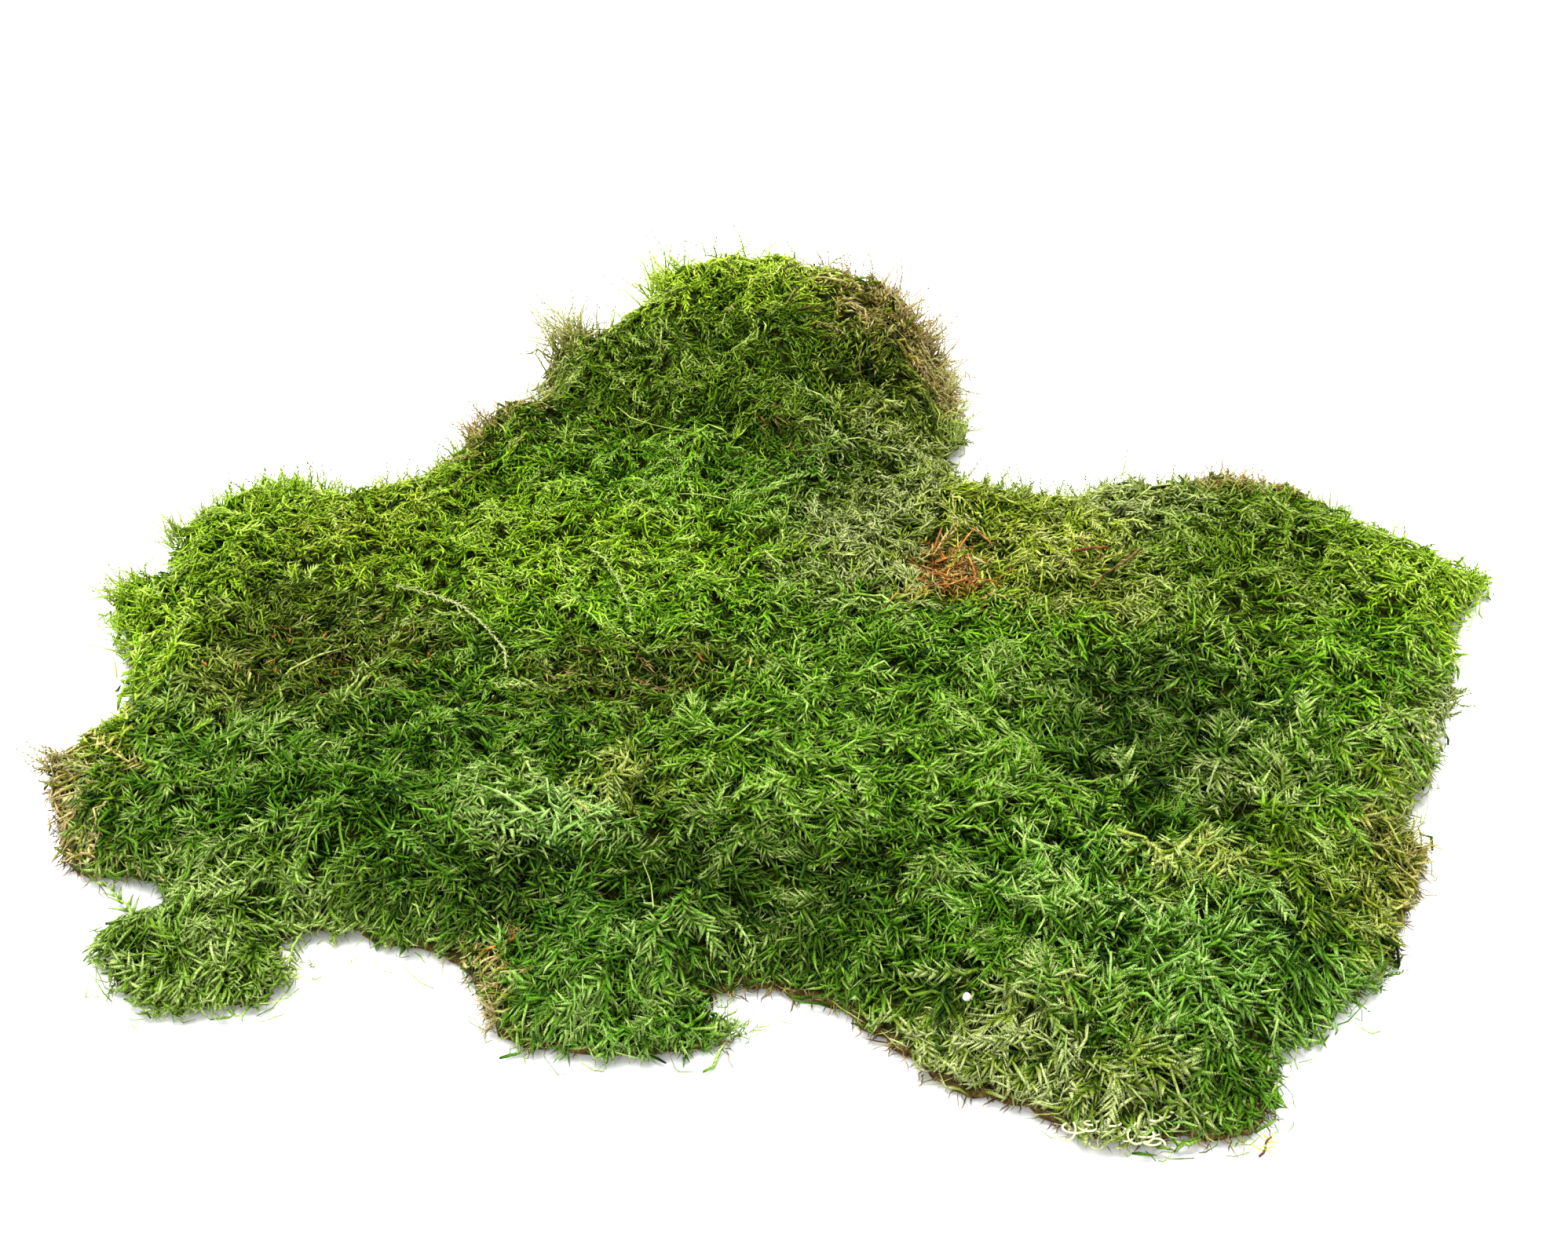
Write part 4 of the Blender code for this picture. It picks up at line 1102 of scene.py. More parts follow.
def reach_out(x, y, out, reach, turn, slope, length, curl, tip_height):
    """Start, direction and bend of shoots whose tips are at a reach outside the edge and at a given
    height: start is tip minus way * length minus bend, kept inside the moss, and the bend's upright
    part then makes up the difference."""
    way = unit(np.column_stack([turned_level(out, turn), slope]))
    bend = curl * length[:, None]
    tip = np.column_stack([x + out[:, 0] * reach, y + out[:, 1] * reach, tip_height])
    start = tip - way * length[:, None] - bend
    cover = read(height_map, start[:, 0], start[:, 1])
    start[:, 2] = np.clip(start[:, 2], np.minimum(1.2, cover), cover + 0.2)
    bend[:, 2] = tip[:, 2] - start[:, 2] - way[:, 2] * length
    return start, way, bend


print("rim height in mm, mean:", round(float(rim_height.mean()), 1))

# %% [markdown]
# Leafy shoots close the rim from the ground up to just above it. At a few bare sides they stay
# high, so that the brown underside shows below them. These sides are listed, each a middle and how
# far round it the rim is bare.

# %% Rim shoots
BARE_SIDES = (
    (40, -163, 46), (-91, -138, 22), (-226, -74, 22), (178, -104, 24), (-14, -129, 16), (120, -181, 14),
)
RIM_LENGTH = (5, 10.5)
RIM_WIDTH = (1.1, 1.8)
RIM_RINGS = 3


def upright(count):
    """The direction straight up, once for each shoot."""
    return np.tile([0.0, 0.0, 1.0], (count, 1))


def bare_side(x, y):
    """From 0 to 1: 1 where the brown underside shows below the rim."""
    found = np.zeros(len(x))
    for across, along, reach in BARE_SIDES:
        found = np.maximum(found, np.clip(1.6 - np.hypot(x - across, y - along) / reach, 0, 1))
    return found


def grow_rim(count):
    """Leafy shoots out over the rim, their tips anywhere from the ground to just above it."""
    x, y, out = along_edge(count, 0.0, 0.3)
    rim = np.maximum(read(height_map, x, y), 2.0)
    share = rng.random(count) ** 0.7
    share = np.maximum(share, bare_side(x, y) * rng.uniform(0.5, 0.9, count))
    tip_height = 0.6 + rim * share + rng.normal(0, 0.7, count) * share
    reach = rng.uniform(-1.8, 1.8, count) + 2.4 * rng.random(count) ** 4 + 1.7 * read(ragged, x, y)
    length = rng.uniform(*RIM_LENGTH, count)
    curl = rng.normal(0, 0.15, (count, 3))
    slope = rng.uniform(-0.9, 0.35, count) * (0.3 + 0.7 * share)
    turn = rng.normal(0, 0.65, count)
    start, way, bend = reach_out(x, y, out, reach, turn, slope, length, curl, tip_height)
    tones = tones_at(x, y)
    # Painted shade: shoots whose tips hang lower down the rim's side are darker.
    fresh = 0.46 + 0.2 * share + rng.normal(0, 0.09, count)
    age = np.column_stack([fresh - 0.3, fresh + 0.14])
    width = rng.uniform(*RIM_WIDTH, count)
    return leafy_shoots(start, way, upright(count), length, width, bend, tones, age, RIM_RINGS)


# %% [markdown]
# Past them hang thin curled wisps, which stand up at the mat's back and lie lower at its front.
# Against the white ground they are what makes the outline soft.

# %% Wisps
WISP_LENGTH = (4, 11)
WISP_WIDTH = (0.4, 0.8)


def grow_wisps(count):
    """Thin curled ends at the rim, which stand up at the mat's back and lie lower at its front."""
    x, y, out = along_edge(count, 0.0, 0.05)
    rim = np.maximum(read(height_map, x, y), 2.0)
    behind = np.clip((y - 20) / 60, 0, 1)
    reach = 0.5 + 5.0 * rng.random(count) ** 1.8 + 1.4 * read(ragged, x, y)
    length = rng.uniform(*WISP_LENGTH, count)
    tip_height = rim + behind * rng.uniform(-1, 5.5, count) - (1 - behind) * rng.uniform(0, 4, count)
    slope = behind * rng.uniform(0, 1.0, count) - (1 - behind) * rng.uniform(-0.1, 0.5, count)
    curl = rng.normal(0, 0.42, (count, 3))
    turn = rng.normal(0, 0.6, count)
    tip_height = np.maximum(tip_height, 0.8)
    start, way, bend = reach_out(x, y, out, reach, turn, slope, length, curl, tip_height)
    tones = tones_at(x, y)
    fresh = rng.normal(0.62, 0.1, count)
    age = np.column_stack([fresh - 0.12, fresh + 0.16])
    width = rng.uniform(*WISP_WIDTH, count)
    return leafy_shoots(start, way, upright(count), length, width, bend, tones, age, RIM_RINGS)


# %% [markdown]
# Some shoots of the rim stand up in groups. A group's feet lie in a random bell round one place,
# and all its shoots lean much the same way, so two helpers place and lean a group at a time.


# %% Groups of upright shoots
def leaning(lean_x, lean_y, loose, count):
    """Directions that rise by one and lean by the given shares, each lean shaken on its own."""
    lean_each = [lean + rng.normal(0, loose, count) for lean in (lean_x, lean_y)]
    return unit(np.column_stack([*lean_each, np.ones(count)]))


def round_place(x, y, spread, count, inside):
    """Places in a random bell round one place, those outside moved in over the edge by as much as
    they miss of the given way inside it."""
    px, py = x + rng.normal(0, spread / 2, count), y + rng.normal(0, spread / 2, count)
    missing = np.maximum(inside - read(edge_map, px, py), 0)
    px += missing * read(out_slope_x, px, py)
    py += missing * read(out_slope_y, px, py)
    return px, py


# %% [markdown]
# At some places of the rim the moss stands up in brushes: the hay tuft at the hill's corner, the
# tan ones down its right side. Each is a row of numbers, listed one by one, because they are what
# one remembers of the outline. Chance would put them anywhere.

# %% Tufts
TUFTS = (
    (-86, 163, 9, 110, 14, -0.4, 0.5, 0.6, "hay"), (-80, 167, 8, 60, 12, 0.1, 0.4, 0.45, "fawn"),
    (-54, 190, 8, 50, 11, -0.3, 0.3, 0.9, "lime"), (-30, 197, 15, 70, 9, 0.0, 0.3, 0.9, "lime"),
    (12, 196, 14, 90, 11, 0.1, 0.4, 0.5, "fawn"), (38, 186, 14, 130, 12, 0.4, 0.4, 0.45, "fawn"),
    (52, 168, 12, 120, 12, 0.7, 0.2, 0.45, "fawn"), (58, 146, 10, 70, 10, 0.9, 0.1, 0.5, "hay"),
    (60, 122, 9, 50, 7, 0.9, 0.1, 0.6, "straw"), (-185, 90, 16, 80, 6, -0.1, 0.5, 0.9, "spring"),
    (-120, 124, 10, 70, 8, -0.5, 0.4, 0.45, "fawn"), (-108, 136, 9, 50, 8, -0.4, 0.4, 0.4, "fawn"),
    (-229, 36, 7, 60, 8, -0.9, 0.2, 0.7, "spring"), (-222, 64, 7, 50, 8, -0.9, 0.3, 0.6, "straw"),
    (238, 44, 5, 36, 5, 0.9, 0.2, 0.6, "spring"), (160, 97, 20, 90, 6, 0.0, 0.5, 0.45, "fawn"),
    (100, 88, 24, 70, 6, 0.0, 0.5, 0.6, "straw"), (-234, -46, 6, 60, 6, -0.9, -0.2, 0.5, "fawn"),
    (-143, -122, 8, 34, 4, 0.9, -0.3, 0.6, "straw"), (-14, -146, 8, 50, 5, 0.9, -0.1, 0.6, "grey_green"),
    (186, -82, 9, 60, 6, 0.9, 0.0, 0.5, "tan"), (-88, -146, 7, 40, 5, -0.7, -0.5, 0.45, "fawn"),
    (-212, 76, 9, 50, 6, -0.6, 0.5, 0.5, "straw"), (-150, 98, 20, 70, 6, -0.1, 0.5, 0.5, "straw"),
    (196, 80, 18, 50, 5, 0.3, 0.5, 0.5, "straw"), (-234, 8, 9, 50, 7, -0.9, 0.1, 0.5, "spring"),
)
TUFT_RINGS = 4


def grow_tuft(x, y, spread, count, tall, lean_x, lean_y, wide, tone):
    """A brush of curled shoots round one place: they rise by about the given height and lean by the
    given shares of it, and the thin ones curl more."""
    px, py = round_place(x, y, spread, count, 1.0)
    start = np.column_stack([px, py, read(height_map, px, py) - rng.uniform(0, 3, count)])
    way = leaning(lean_x, lean_y, 0.35, count)
    length = tall * rng.uniform(0.6, 1.35, count)
    bend = rng.normal(0, max(0.75 - 0.42 * wide, 0.2), (count, 3)) * length[:, None]
    other, _, _ = tones_at(px, py)
    fresh = rng.normal(0.66, 0.08, count)
    tones = (np.full(count, TONE_AT[tone]), other, rng.uniform(0, 0.5, count))
    age = np.column_stack([fresh - 0.2, fresh + 0.14])
    up = np.tile([0.0, 1.0, 0.0], (count, 1))
    width = wide * rng.uniform(0.7, 1.5, count)
    return leafy_shoots(start, way, up, length, width, bend, tones, age, TUFT_RINGS)


# %% [markdown]
# Against the light the rim shows single feathers that stand up and curl. The frond's formula
# follows the surface, so these plumes have one of their own: a free stem in the air, with the
# same fine side shoots left and right.

# %% Plumes
PLUMES = (
    (-52, 189, 11, 46, 13, -0.3, 0.3, "lime"), (-28, 198, 20, 50, 10, 0.0, 0.3, "spring"),
    (-86, 164, 9, 26, 14, -0.4, 0.5, "hay"), (-66, 170, 10, 14, 8, -0.3, 0.5, "spring"),
    (24, 194, 18, 26, 11, 0.2, 0.4, "fawn"), (52, 164, 12, 24, 10, 0.7, 0.2, "hay"),
    (62, 124, 12, 16, 8, 0.8, 0.2, "straw"), (76, 90, 18, 22, 7, 0.2, 0.5, "straw"),
    (-190, 90, 26, 44, 7, -0.2, 0.5, "spring"), (-140, 104, 28, 26, 7, 0.0, 0.5, "spring"),
    (-112, 128, 12, 16, 8, -0.5, 0.4, "fawn"), (-230, 38, 8, 16, 9, -0.9, 0.3, "hay"),
    (132, 92, 32, 28, 6, 0.0, 0.5, "straw"), (200, 74, 26, 20, 6, 0.3, 0.5, "spring"),
    (92, 90, 34, 30, 8, 0.0, 0.5, "straw"), (152, 97, 20, 18, 6, 0.1, 0.5, "hay"),
    (-172, 98, 38, 30, 7, 0.0, 0.5, "straw"), (234, 44, 8, 12, 6, 0.9, 0.2, "spring"),
    (212, -20, 18, 20, 6, 0.9, 0.0, "sage"), (-236, -50, 10, 18, 7, -0.8, 0.1, "hay"),
    (-44, -150, 18, 18, 5, 0.2, -0.8, "pine_green"), (-190, -142, 26, 20, 5, -0.1, -0.8, "grey_green"),
    (176, -150, 16, 16, 5, 0.8, -0.4, "teal"),
)
PLUME_JOINTS = 9
PLUME_RINGS = 4


def grow_plumes(x, y, spread, count, tall, lean_x, lean_y, tone):
    """Feathered shoots that stand up round one place: a curled stem, at place + way * length * t +
    bend * t * t, and a fine side shoot at each joint, left and right in turn."""
    px, py = round_place(x, y, spread, count, 0.5)
    foot = np.column_stack([px, py, read(height_map, px, py) - rng.uniform(1, 4, count)])
    way = leaning(lean_x, lean_y, 0.4, count)
    length = tall * rng.uniform(0.7, 1.3, count)
    bend = rng.normal(0, 0.3, (count, 3)) * length[:, None]
    t = np.linspace(0.15, 1, PLUME_JOINTS)[None, :, None]
    joint = foot[:, None] + (way * length[:, None])[:, None] * t + bend[:, None] * t**2
    joint[..., 2] = np.maximum(joint[..., 2], 1.0)
    run = unit(np.gradient(joint, axis=1))
    front = [rng.normal(0, 0.5, count), np.full(count, -1.0), rng.normal(0.3, 0.3, count)]
    front = unit(np.column_stack(front))
    front_each = np.repeat(front[:, None], PLUME_JOINTS, 1)
    side = unit(np.cross(run, front_each))
    spread_out = rng.uniform(0.5, 1.0, (count, PLUME_JOINTS, 1))
    spread_out[:, -1] = 0.05
    turned = unit(run * np.cos(spread_out) + side * left_right(PLUME_JOINTS) * np.sin(spread_out))
    reach = rng.uniform(1.8, 3.0, (count, 1)) * rng.uniform(0.7, 1.2, (count, PLUME_JOINTS))
    reach = reach * (1.15 - 0.5 * t[..., 0])
    fine = rng.uniform(0.9, 1.3, (count, PLUME_JOINTS))
    other, _, _ = tones_at(px, py)
    tones = (np.full(count, TONE_AT[tone]), other, rng.uniform(0, 0.45, count))
    fresh = rng.normal(0.62, 0.08, (count, 1)) + 0.08 * t[..., 0]
    age = np.stack([fresh - 0.25, fresh + 0.16], -1)
    side_bend = 0.2 * run * reach[..., None]
    side_rows = [flat(values) for values in (joint, turned, front_each, reach, fine, side_bend)]
    side_tones = tuple(np.repeat(tone_set, PLUME_JOINTS) for tone_set in tones)
    sides = leafy_shoots(*side_rows, side_tones, flat(age), 1)
    stem_age = np.column_stack([fresh[:, 0] - 0.3, fresh[:, 0] + 0.05])
    stem_width = rng.uniform(0.8, 1.1, count)
    stem = leafy_shoots(foot, way, front, length, stem_width, bend, tones, stem_age, PLUME_RINGS)
    return [sides, stem]


# %% [markdown]
# The rim's four kinds of shoot are one piece. It is the piece that gives the mat its outline, and
# it reaches a few millimetres past the solid all round.

# %% Grow the rim
RIM_SHOOTS = 3800
RIM_WISPS = 1750
tufts = [grow_tuft(*row) for row in TUFTS]
plumes = [part for row in PLUMES for part in grow_plumes(*row)]
points, faces, maps = join_parts([grow_rim(RIM_SHOOTS), grow_wisps(RIM_WISPS)] + tufts + plumes)
put_piece("rim_shoots", points, faces, moss_leaves, "living_moss", "moss_carpet", maps)

# %% [markdown]
# Between the shoots one looks down on their own dark, dead lower ends, and below these on brown
# humus. Both are flat bodies with the mat's ragged outline. Extruding an outline would give
# smooth walls, so here a grid over the plan has its outermost points drawn out onto the edge,
# and the wall down to the ground has rows of its own, which bulge at random.


# %% A slab with the mat's outline
def slab(step, inset, top_at, foot, rows):
    """A closed body over the plan: grid cells more than the inset inside the mat's edge, their
    outermost points moved out onto it, a sheet of them at the top height, one at the foot's level,
    and between these a wall with rows of its own, which bulges by the given widths."""
    gx, gy = np.meshgrid(np.arange(GRID_X[0], GRID_X[-1], step), np.arange(GRID_Y[0], GRID_Y[-1], step))
    spare = read(edge_map, gx, gy) - inset(gx, gy)
    used = (spare[:-1, :-1] > 0) & (spare[1:, :-1] > 0) & (spare[:-1, 1:] > 0) & (spare[1:, 1:] > 0)
    number = np.arange(gx.size).reshape(gx.shape)
    quads = np.stack([number[:-1, :-1], number[:-1, 1:], number[1:, 1:], number[1:, :-1]], -1)[used]
    kept, compact = np.unique(quads, return_inverse=True)
    quads = compact.reshape(quads.shape)
    x, y, spare = gx.ravel()[kept], gy.ravel()[kept], spare.ravel()[kept]
    edges = np.concatenate([quads[:, [k, (k + 1) % 4]] for k in range(4)])
    _, index, times = np.unique(np.sort(edges, 1), axis=0, return_inverse=True, return_counts=True)
    rim = edges[times[index.ravel()] == 1]
    on_rim = np.unique(rim)
    out = out_of_mat(x[on_rim], y[on_rim])
    x[on_rim] += out[:, 0] * spare[on_rim]
    y[on_rim] += out[:, 1] * spare[on_rim]
    top, low = top_at(x, y), np.full(len(x), float(foot))
    size, rims = len(x), len(on_rim)
    sheets = [np.stack([x, y, top], -1), np.stack([x, y, low], -1)]
    place = np.full(size, -1)
    place[on_rim] = np.arange(rims)
    shares = (np.arange(len(rows)) + 1) / (len(rows) + 1)
    for share, bulge in zip(shares, rows):
        width = bulge * rng.uniform(0.4, 1.6, rims)
        level = top[on_rim] + (low[on_rim] - top[on_rim]) * share
        sheets.append(np.stack([x[on_rim] + out[:, 0] * width, y[on_rim] + out[:, 1] * width, level], -1))
    bands = [rim] + [place[rim] + 2 * size + k * rims for k in range(len(rows))] + [rim + size]
    walls = [np.stack([b[:, 1], b[:, 0], d[:, 0], d[:, 1]], 1) for b, d in zip(bands[:-1], bands[1:])]
    return np.concatenate(sheets), np.concatenate([quads, quads[:, ::-1] + size] + walls)


# %% [markdown]
# Humus, bark, dry stems and needles have one kind of finish: grains from dark to light in three
# browns, with bumps that go with them. A noise texture decides which brown is where, and it is in
# a group, so that each material only names its colours and the size of its grains.

# %% Grainy finishes
GRAIN_CONTRAST = 5.5
GRAIN_STARTS = (-1.8, -2.8)
GRAIN_DETAIL = 5.0

grains, takes, gives = new_group(
    "grains",
    [("Dark", "Color"), ("Middle", "Color"), ("Light", "Color"), ("Scale", "Float"), ("Detail", "Float")],
    [("Color", "Color"), ("Height", "Float")],
)
noise = add_noise(grains, takes["Scale"], takes["Detail"])
low_part, high_part = [
    add_math(grains, "MULTIPLY_ADD", noise, GRAIN_CONTRAST, shift, clamp=True) for shift in GRAIN_STARTS
]
tinted = add_mix(grains, "MIX", low_part, takes["Dark"], takes["Middle"])
grains.links.new(add_mix(grains, "MIX", high_part, tinted, takes["Light"]), gives["Color"])
grains.links.new(noise, gives["Height"])


def grainy_material(name, dark, middle, light, roughness, grain, depth, gloss=0.1):
    """Dry or crumbly colour: noise picks from dark to light, and its own bumps go with it."""
    made = plain_material(name, linear(*middle), roughness)
    tree = made.node_tree
    tints = {key: (*linear(*tint), 1) for key, tint in (("Dark", dark), ("Middle", middle), ("Light", light))}
    grain_look = use_group(tree, grains, Scale=grain, Detail=GRAIN_DETAIL, **tints)
    tree.links.new(grain_look["Color"], tree.nodes["Principled BSDF"].inputs["Base Color"])
    tree.nodes["Principled BSDF"].inputs["Specular IOR Level"].default_value = gloss
    add_bump(tree, grain_look["Height"], 0.8, depth)
    return made


print("grains group:", len(grains.nodes), "nodes")

# %% [markdown]
# The dark tangle of lower stems is a closed body a few millimetres under the shoots, rough and
# nearly black-green. The stems are real; their near-black colour is painted shade, for the gaps
# that look down into the mat. It stops every see-through gap. Thousands more shoots would do so
# too, but nobody would see them.

# %% The dark tangle under the shoots
TANGLE_STEP = 4.0
TANGLE_FOOT = 1.3
TANGLE_BULGE = 0.3
tangle_noise = 0.9 * noise_field(1, 5) + 0.7 * noise_field(6, 6)


def tangle_inset(x, y):
    """How far the tangle stays inside the edge, made rough."""
    return 1.4 + 0.5 * read(tangle_noise, x, y)


def tangle_top(x, y):
    """The mat's height less a depth that grows from 2 mm at the edge to 5.6 mm, made rough."""
    depth = 2.0 + 3.6 * np.clip(read(edge_map, x, y) / 14, 0, 1)
    return np.maximum(read(height_map, x, y) - depth + read(tangle_noise, x, y), 2.4)


points, faces = slab(TANGLE_STEP, tangle_inset, tangle_top, TANGLE_FOOT, [TANGLE_BULGE])
tangle_shade_look = grainy_material("dark_tangle", (14, 20, 2), (42, 54, 8), (86, 100, 24), 1.0, 800, 0.0015)
put_piece("dark_tangle", points, faces, tangle_shade_look, "living_moss", "moss_carpet")

# %% [markdown]
# The mat was lifted with a thin layer of brown humus and dead stems. It shows as a crumbly brown
# rim under the front edge and the small left lobe. Its body is the same kind of slab, cut off
# flat below, where the mat rests, and its side wall has three rough rows.

# %% The humus layer
HUMUS_STEP = 5.0
HUMUS_BULGES = [0.9, 0.5, 1.0]
humus_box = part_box("humus_base")


def humus_inset(x, y):
    """How far the humus stays inside the edge: a little at the front rims, where it shows."""
    showing = np.clip((20 - y) / 40, 0, 1)
    bare = bare_side(x.ravel(), y.ravel()).reshape(x.shape)
    return 4.5 - 2.4 * showing - 2.8 * bare + 0.5 * read(tangle_noise, x, y)


def humus_top(x, y):
    """Just under the dark tangle's own foot at the rim, and no higher than the solid."""
    return np.full_like(x, humus_box[1][2] / MM - 1.2) + 0.25 * read(tangle_noise, x, y)


points, faces = slab(HUMUS_STEP, humus_inset, humus_top, 0.0, HUMUS_BULGES)
humus_look = grainy_material("humus_crumbs", (40, 32, 14), (82, 66, 32), (132, 110, 62), 0.95, 420, 0.0015)
put_piece("humus_layer", points, faces, humus_look, "humus", "humus_base", smooth=False)

# %% [markdown]
# Old moss ends in thin brown stems without leaves. They stick out of the rims, most of all at the
# bare sides. The shoot formula makes them too: it needs only a thin width and a brown material.

# %% Dead stems at the rims
dead_look = grainy_material("dead_stems", (56, 44, 20), (118, 98, 50), (178, 158, 98), 0.8, 160, 0.0003)
STEM_COUNT = 2400
STEM_INSIDE = 3.5
DEAD_RINGS = 4


def thin_pieces(start, way, length, width, bend, rings):
    """Thin spindles with the shoot formula, their growth numbers left unread."""
    count = len(start)
    nothing = np.zeros(count)
    tones = (nothing, nothing, nothing)
    age = np.full((count, 2), 0.5)
    made = leafy_shoots(start, way, upright(count), length, width, bend, tones, age, rings)
    return made["points"], made["faces"]


def rim_stems():
    """Dead stems that come out from under the rim, level or a little down, and end above ground."""
    x, y, out = along_edge(STEM_COUNT, STEM_INSIDE, 0.0)
    bare = bare_side(x, y)
    kept = rng.random(STEM_COUNT) < np.where(y < 20, 0.35, 0.2) + 0.7 * bare
    x, y, out, bare = x[kept], y[kept], out[kept], bare[kept]
    x, y = x + 3.4 * bare * out[:, 0], y + 3.4 * bare * out[:, 1]
    count = len(x)
    level = turned_level(out, rng.normal(0, 0.7, count))
    length = rng.uniform(2.5, 7, count)
    height = rng.uniform(0.9, 4.2, count)
    way = unit(np.column_stack([level, rng.normal(-0.02, 0.22, count)]))
    drift = rng.normal(0, 0.12, (count, 2)) * length[:, None]
    bend = np.column_stack([drift, -height * rng.uniform(0, 0.4, count)])
    start = np.column_stack([x, y, height])
    bend[:, 2] += np.maximum(0.5 - (height + way[:, 2] * length + bend[:, 2]), 0)
    bend[:, :2] += rng.normal(0, 0.25, (count, 2)) * length[:, None]
    return thin_pieces(start, way, length, rng.uniform(0.35, 0.7, count), bend, DEAD_RINGS)


rim_set = rim_stems()
print("stems at the rims, triangles:", len(rim_set[1]))

# %% [markdown]
# The same stems cross the brown hollows of the turf, where the moss has died back. There they lie
# on the surface, every way round. A hollow is its middle, two widths and a number of stems.

# %% Dead stems in the hollows
HOLLOWS = (
    (-158, -4, 44, 20, 200), (-50, -14, 40, 14, 150), (-85, -130, 9, 18, 70), (100, -24, 26, 12, 15),
    (150, 90, 22, 8, 60), (42, 166, 18, 16, 120), (56, 135, 7, 22, 80), (-6, 102, 12, 7, 30),
    (55, 40, 14, 12, 150), (104, 40, 12, 8, 40), (190, -90, 10, 20, 50),
)


def in_hollows(scale):
    """Places in the brown hollows: a bell of random places round each one's middle."""
    places = [
        np.column_stack([rng.normal(x, wide / 2, int(n * scale)), rng.normal(y, deep / 2, int(n * scale))])
        for x, y, wide, deep, n in HOLLOWS
    ]
    places = np.vstack(places)
    return places[read(edge_map, places[:, 0], places[:, 1]) > 3]


def lying_pieces(places, lengths, widths, lifts, rings):
    """Thin pieces that lie on the moss at the given places, every way round. Each of lengths,
    widths and lifts is the lowest and highest of a range."""
    count = len(places)
    length, width, lift = (rng.uniform(*span, count) for span in (lengths, widths, lifts))
    x, y = places.T
    angle = rng.uniform(0, 2 * math.pi, count)
    normal = surface_normals(x, y)
    level = np.column_stack([np.cos(angle), np.sin(angle), rng.normal(0.1, 0.25, count)])
    way = unit(along_surface(level, normal) + normal * rng.normal(0.1, 0.2, (count, 1)))
    start = np.column_stack([x, y, read(height_map, x, y) + lift])
    bend = rng.normal(0, 0.14, (count, 3)) * length[:, None]
    return thin_pieces(start, way, length, width, bend, rings)


hollow_set = lying_pieces(in_hollows(1.0), (2.5, 6.5), (0.4, 0.8), (-2.0, 0.2), 3)
put_piece("dead_stems", *join_pairs([rim_set, hollow_set]), dead_look, "humus")

# %% [markdown]
# A few bits of rusty leaf lie in the hollows, and in the deepest one a jumble of broken needles,
# which makes the one orange spot of the mat. The whole needles on top of it come further down.

# %% Rusty litter
rusty_look = grainy_material("rusty_bits", (66, 40, 10), (140, 84, 26), (192, 128, 54), 0.7, 240, 0.0003)
LEAF_SHARE = 0.06
JUMBLE = 90
JUMBLE_BELL = ((51, 3.8), (41, 4.2))
leaf_set = lying_pieces(in_hollows(LEAF_SHARE), (1.8, 4.2), (0.9, 1.7), (-0.6, 0.8), 4)
jumble_places = np.column_stack([rng.normal(middle, spread, JUMBLE) for middle, spread in JUMBLE_BELL])
jumble = lying_pieces(jumble_places, (3, 7.5), (0.45, 0.8), (-1.2, 1.6), 4)
put_piece("rusty_bits", *join_pairs([leaf_set, jumble]), rusty_look, "dry_needle")

# %% [markdown]
# A few things lie on the moss: fallen conifer needles, a twig and a stick, a long pale runner of
# another moss, dry strands, a white grain. Their solids already give each one's place, so the
# middle line of each solid is read back, and a finer form is carried along it.


# %% Lines through the small solids
def middle_line(node, count):
    """Middles of slices across a solid's longest direction, from one end to the other."""
    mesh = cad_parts[node].data
    points = np.empty(len(mesh.vertices) * 3)
    mesh.vertices.foreach_get("co", points)
    points = points.reshape(-1, 3) / MM
    middle = points.mean(0)
    _, _, axes = np.linalg.svd(points - middle, full_matrices=False)
    along = (points - middle) @ axes[0]
    stations = np.linspace(along.min(), along.max(), count)
    reach = (along.max() - along.min()) / count * 1.1
    weight = np.exp(-((along[None, :] - stations[:, None]) / reach) ** 2)
    line = (weight @ points) / weight.sum(1, keepdims=True)
    line[0] = points[along.argmin()]
    line[-1] = points[along.argmax()]
    return line


steps = np.diff(middle_line("brown_twig", 22), axis=0)
print("twig length in mm:", round(float(np.linalg.norm(steps, axis=1).sum())))

# %% [markdown]
# A needle or a twig is a tube. Blender's curve bevel makes tubes with one plain round section.
# This one is worked out ring by ring, so it can be flat like a needle, rough like bark, or thin
# at its ends, and it is closed with a point at both.


# %% A tube along a line
def tube_faces(rings, sides):
    """Triangles between neighbouring rings of a tube, then fans to the two end points, which come
    after all the rings' points."""
    row = np.arange(rings - 1)[:, None] * sides
    i = np.arange(sides)[None, :]
    a, b = (row + i).ravel(), (row + (i + 1) % sides).ravel()
    side_faces = np.concatenate([np.stack([b, a, a + sides], 1), np.stack([b, a + sides, b + sides], 1)])
    last = (rings - 1) * sides
    i = i.ravel()
    first_end = np.stack([i, (i + 1) % sides, np.full(sides, rings * sides)], 1)
    last_end = np.stack([last + (i + 1) % sides, last + i, np.full(sides, rings * sides + 1)], 1)
    return np.concatenate([side_faces, first_end, last_end])


def carried(line, radius, sides, squash=1.0, ripple=0.0):
    """A ring of the given radius carried along a line, its upright axis scaled by squash and its
    radius shaken by ripple; both ends are closed with a point."""
    run = unit(np.gradient(line, axis=0))
    across = unit(np.cross(run, np.array([0.0, 0.0, 1.0])))
    over = np.cross(across, run)
    turn = np.arange(sides) * 2 * math.pi / sides
    away = radius[:, None] * (1 + ripple * rng.standard_normal((len(line), sides)))
    ring = (np.cos(turn) * away)[..., None] * across[:, None]
    ring = ring + (squash * np.sin(turn) * away)[..., None] * over[:, None]
    points = np.concatenate([(line[:, None] + ring).reshape(-1, 3), line[:1], line[-1:]])
    return points, tube_faces(len(line), sides)


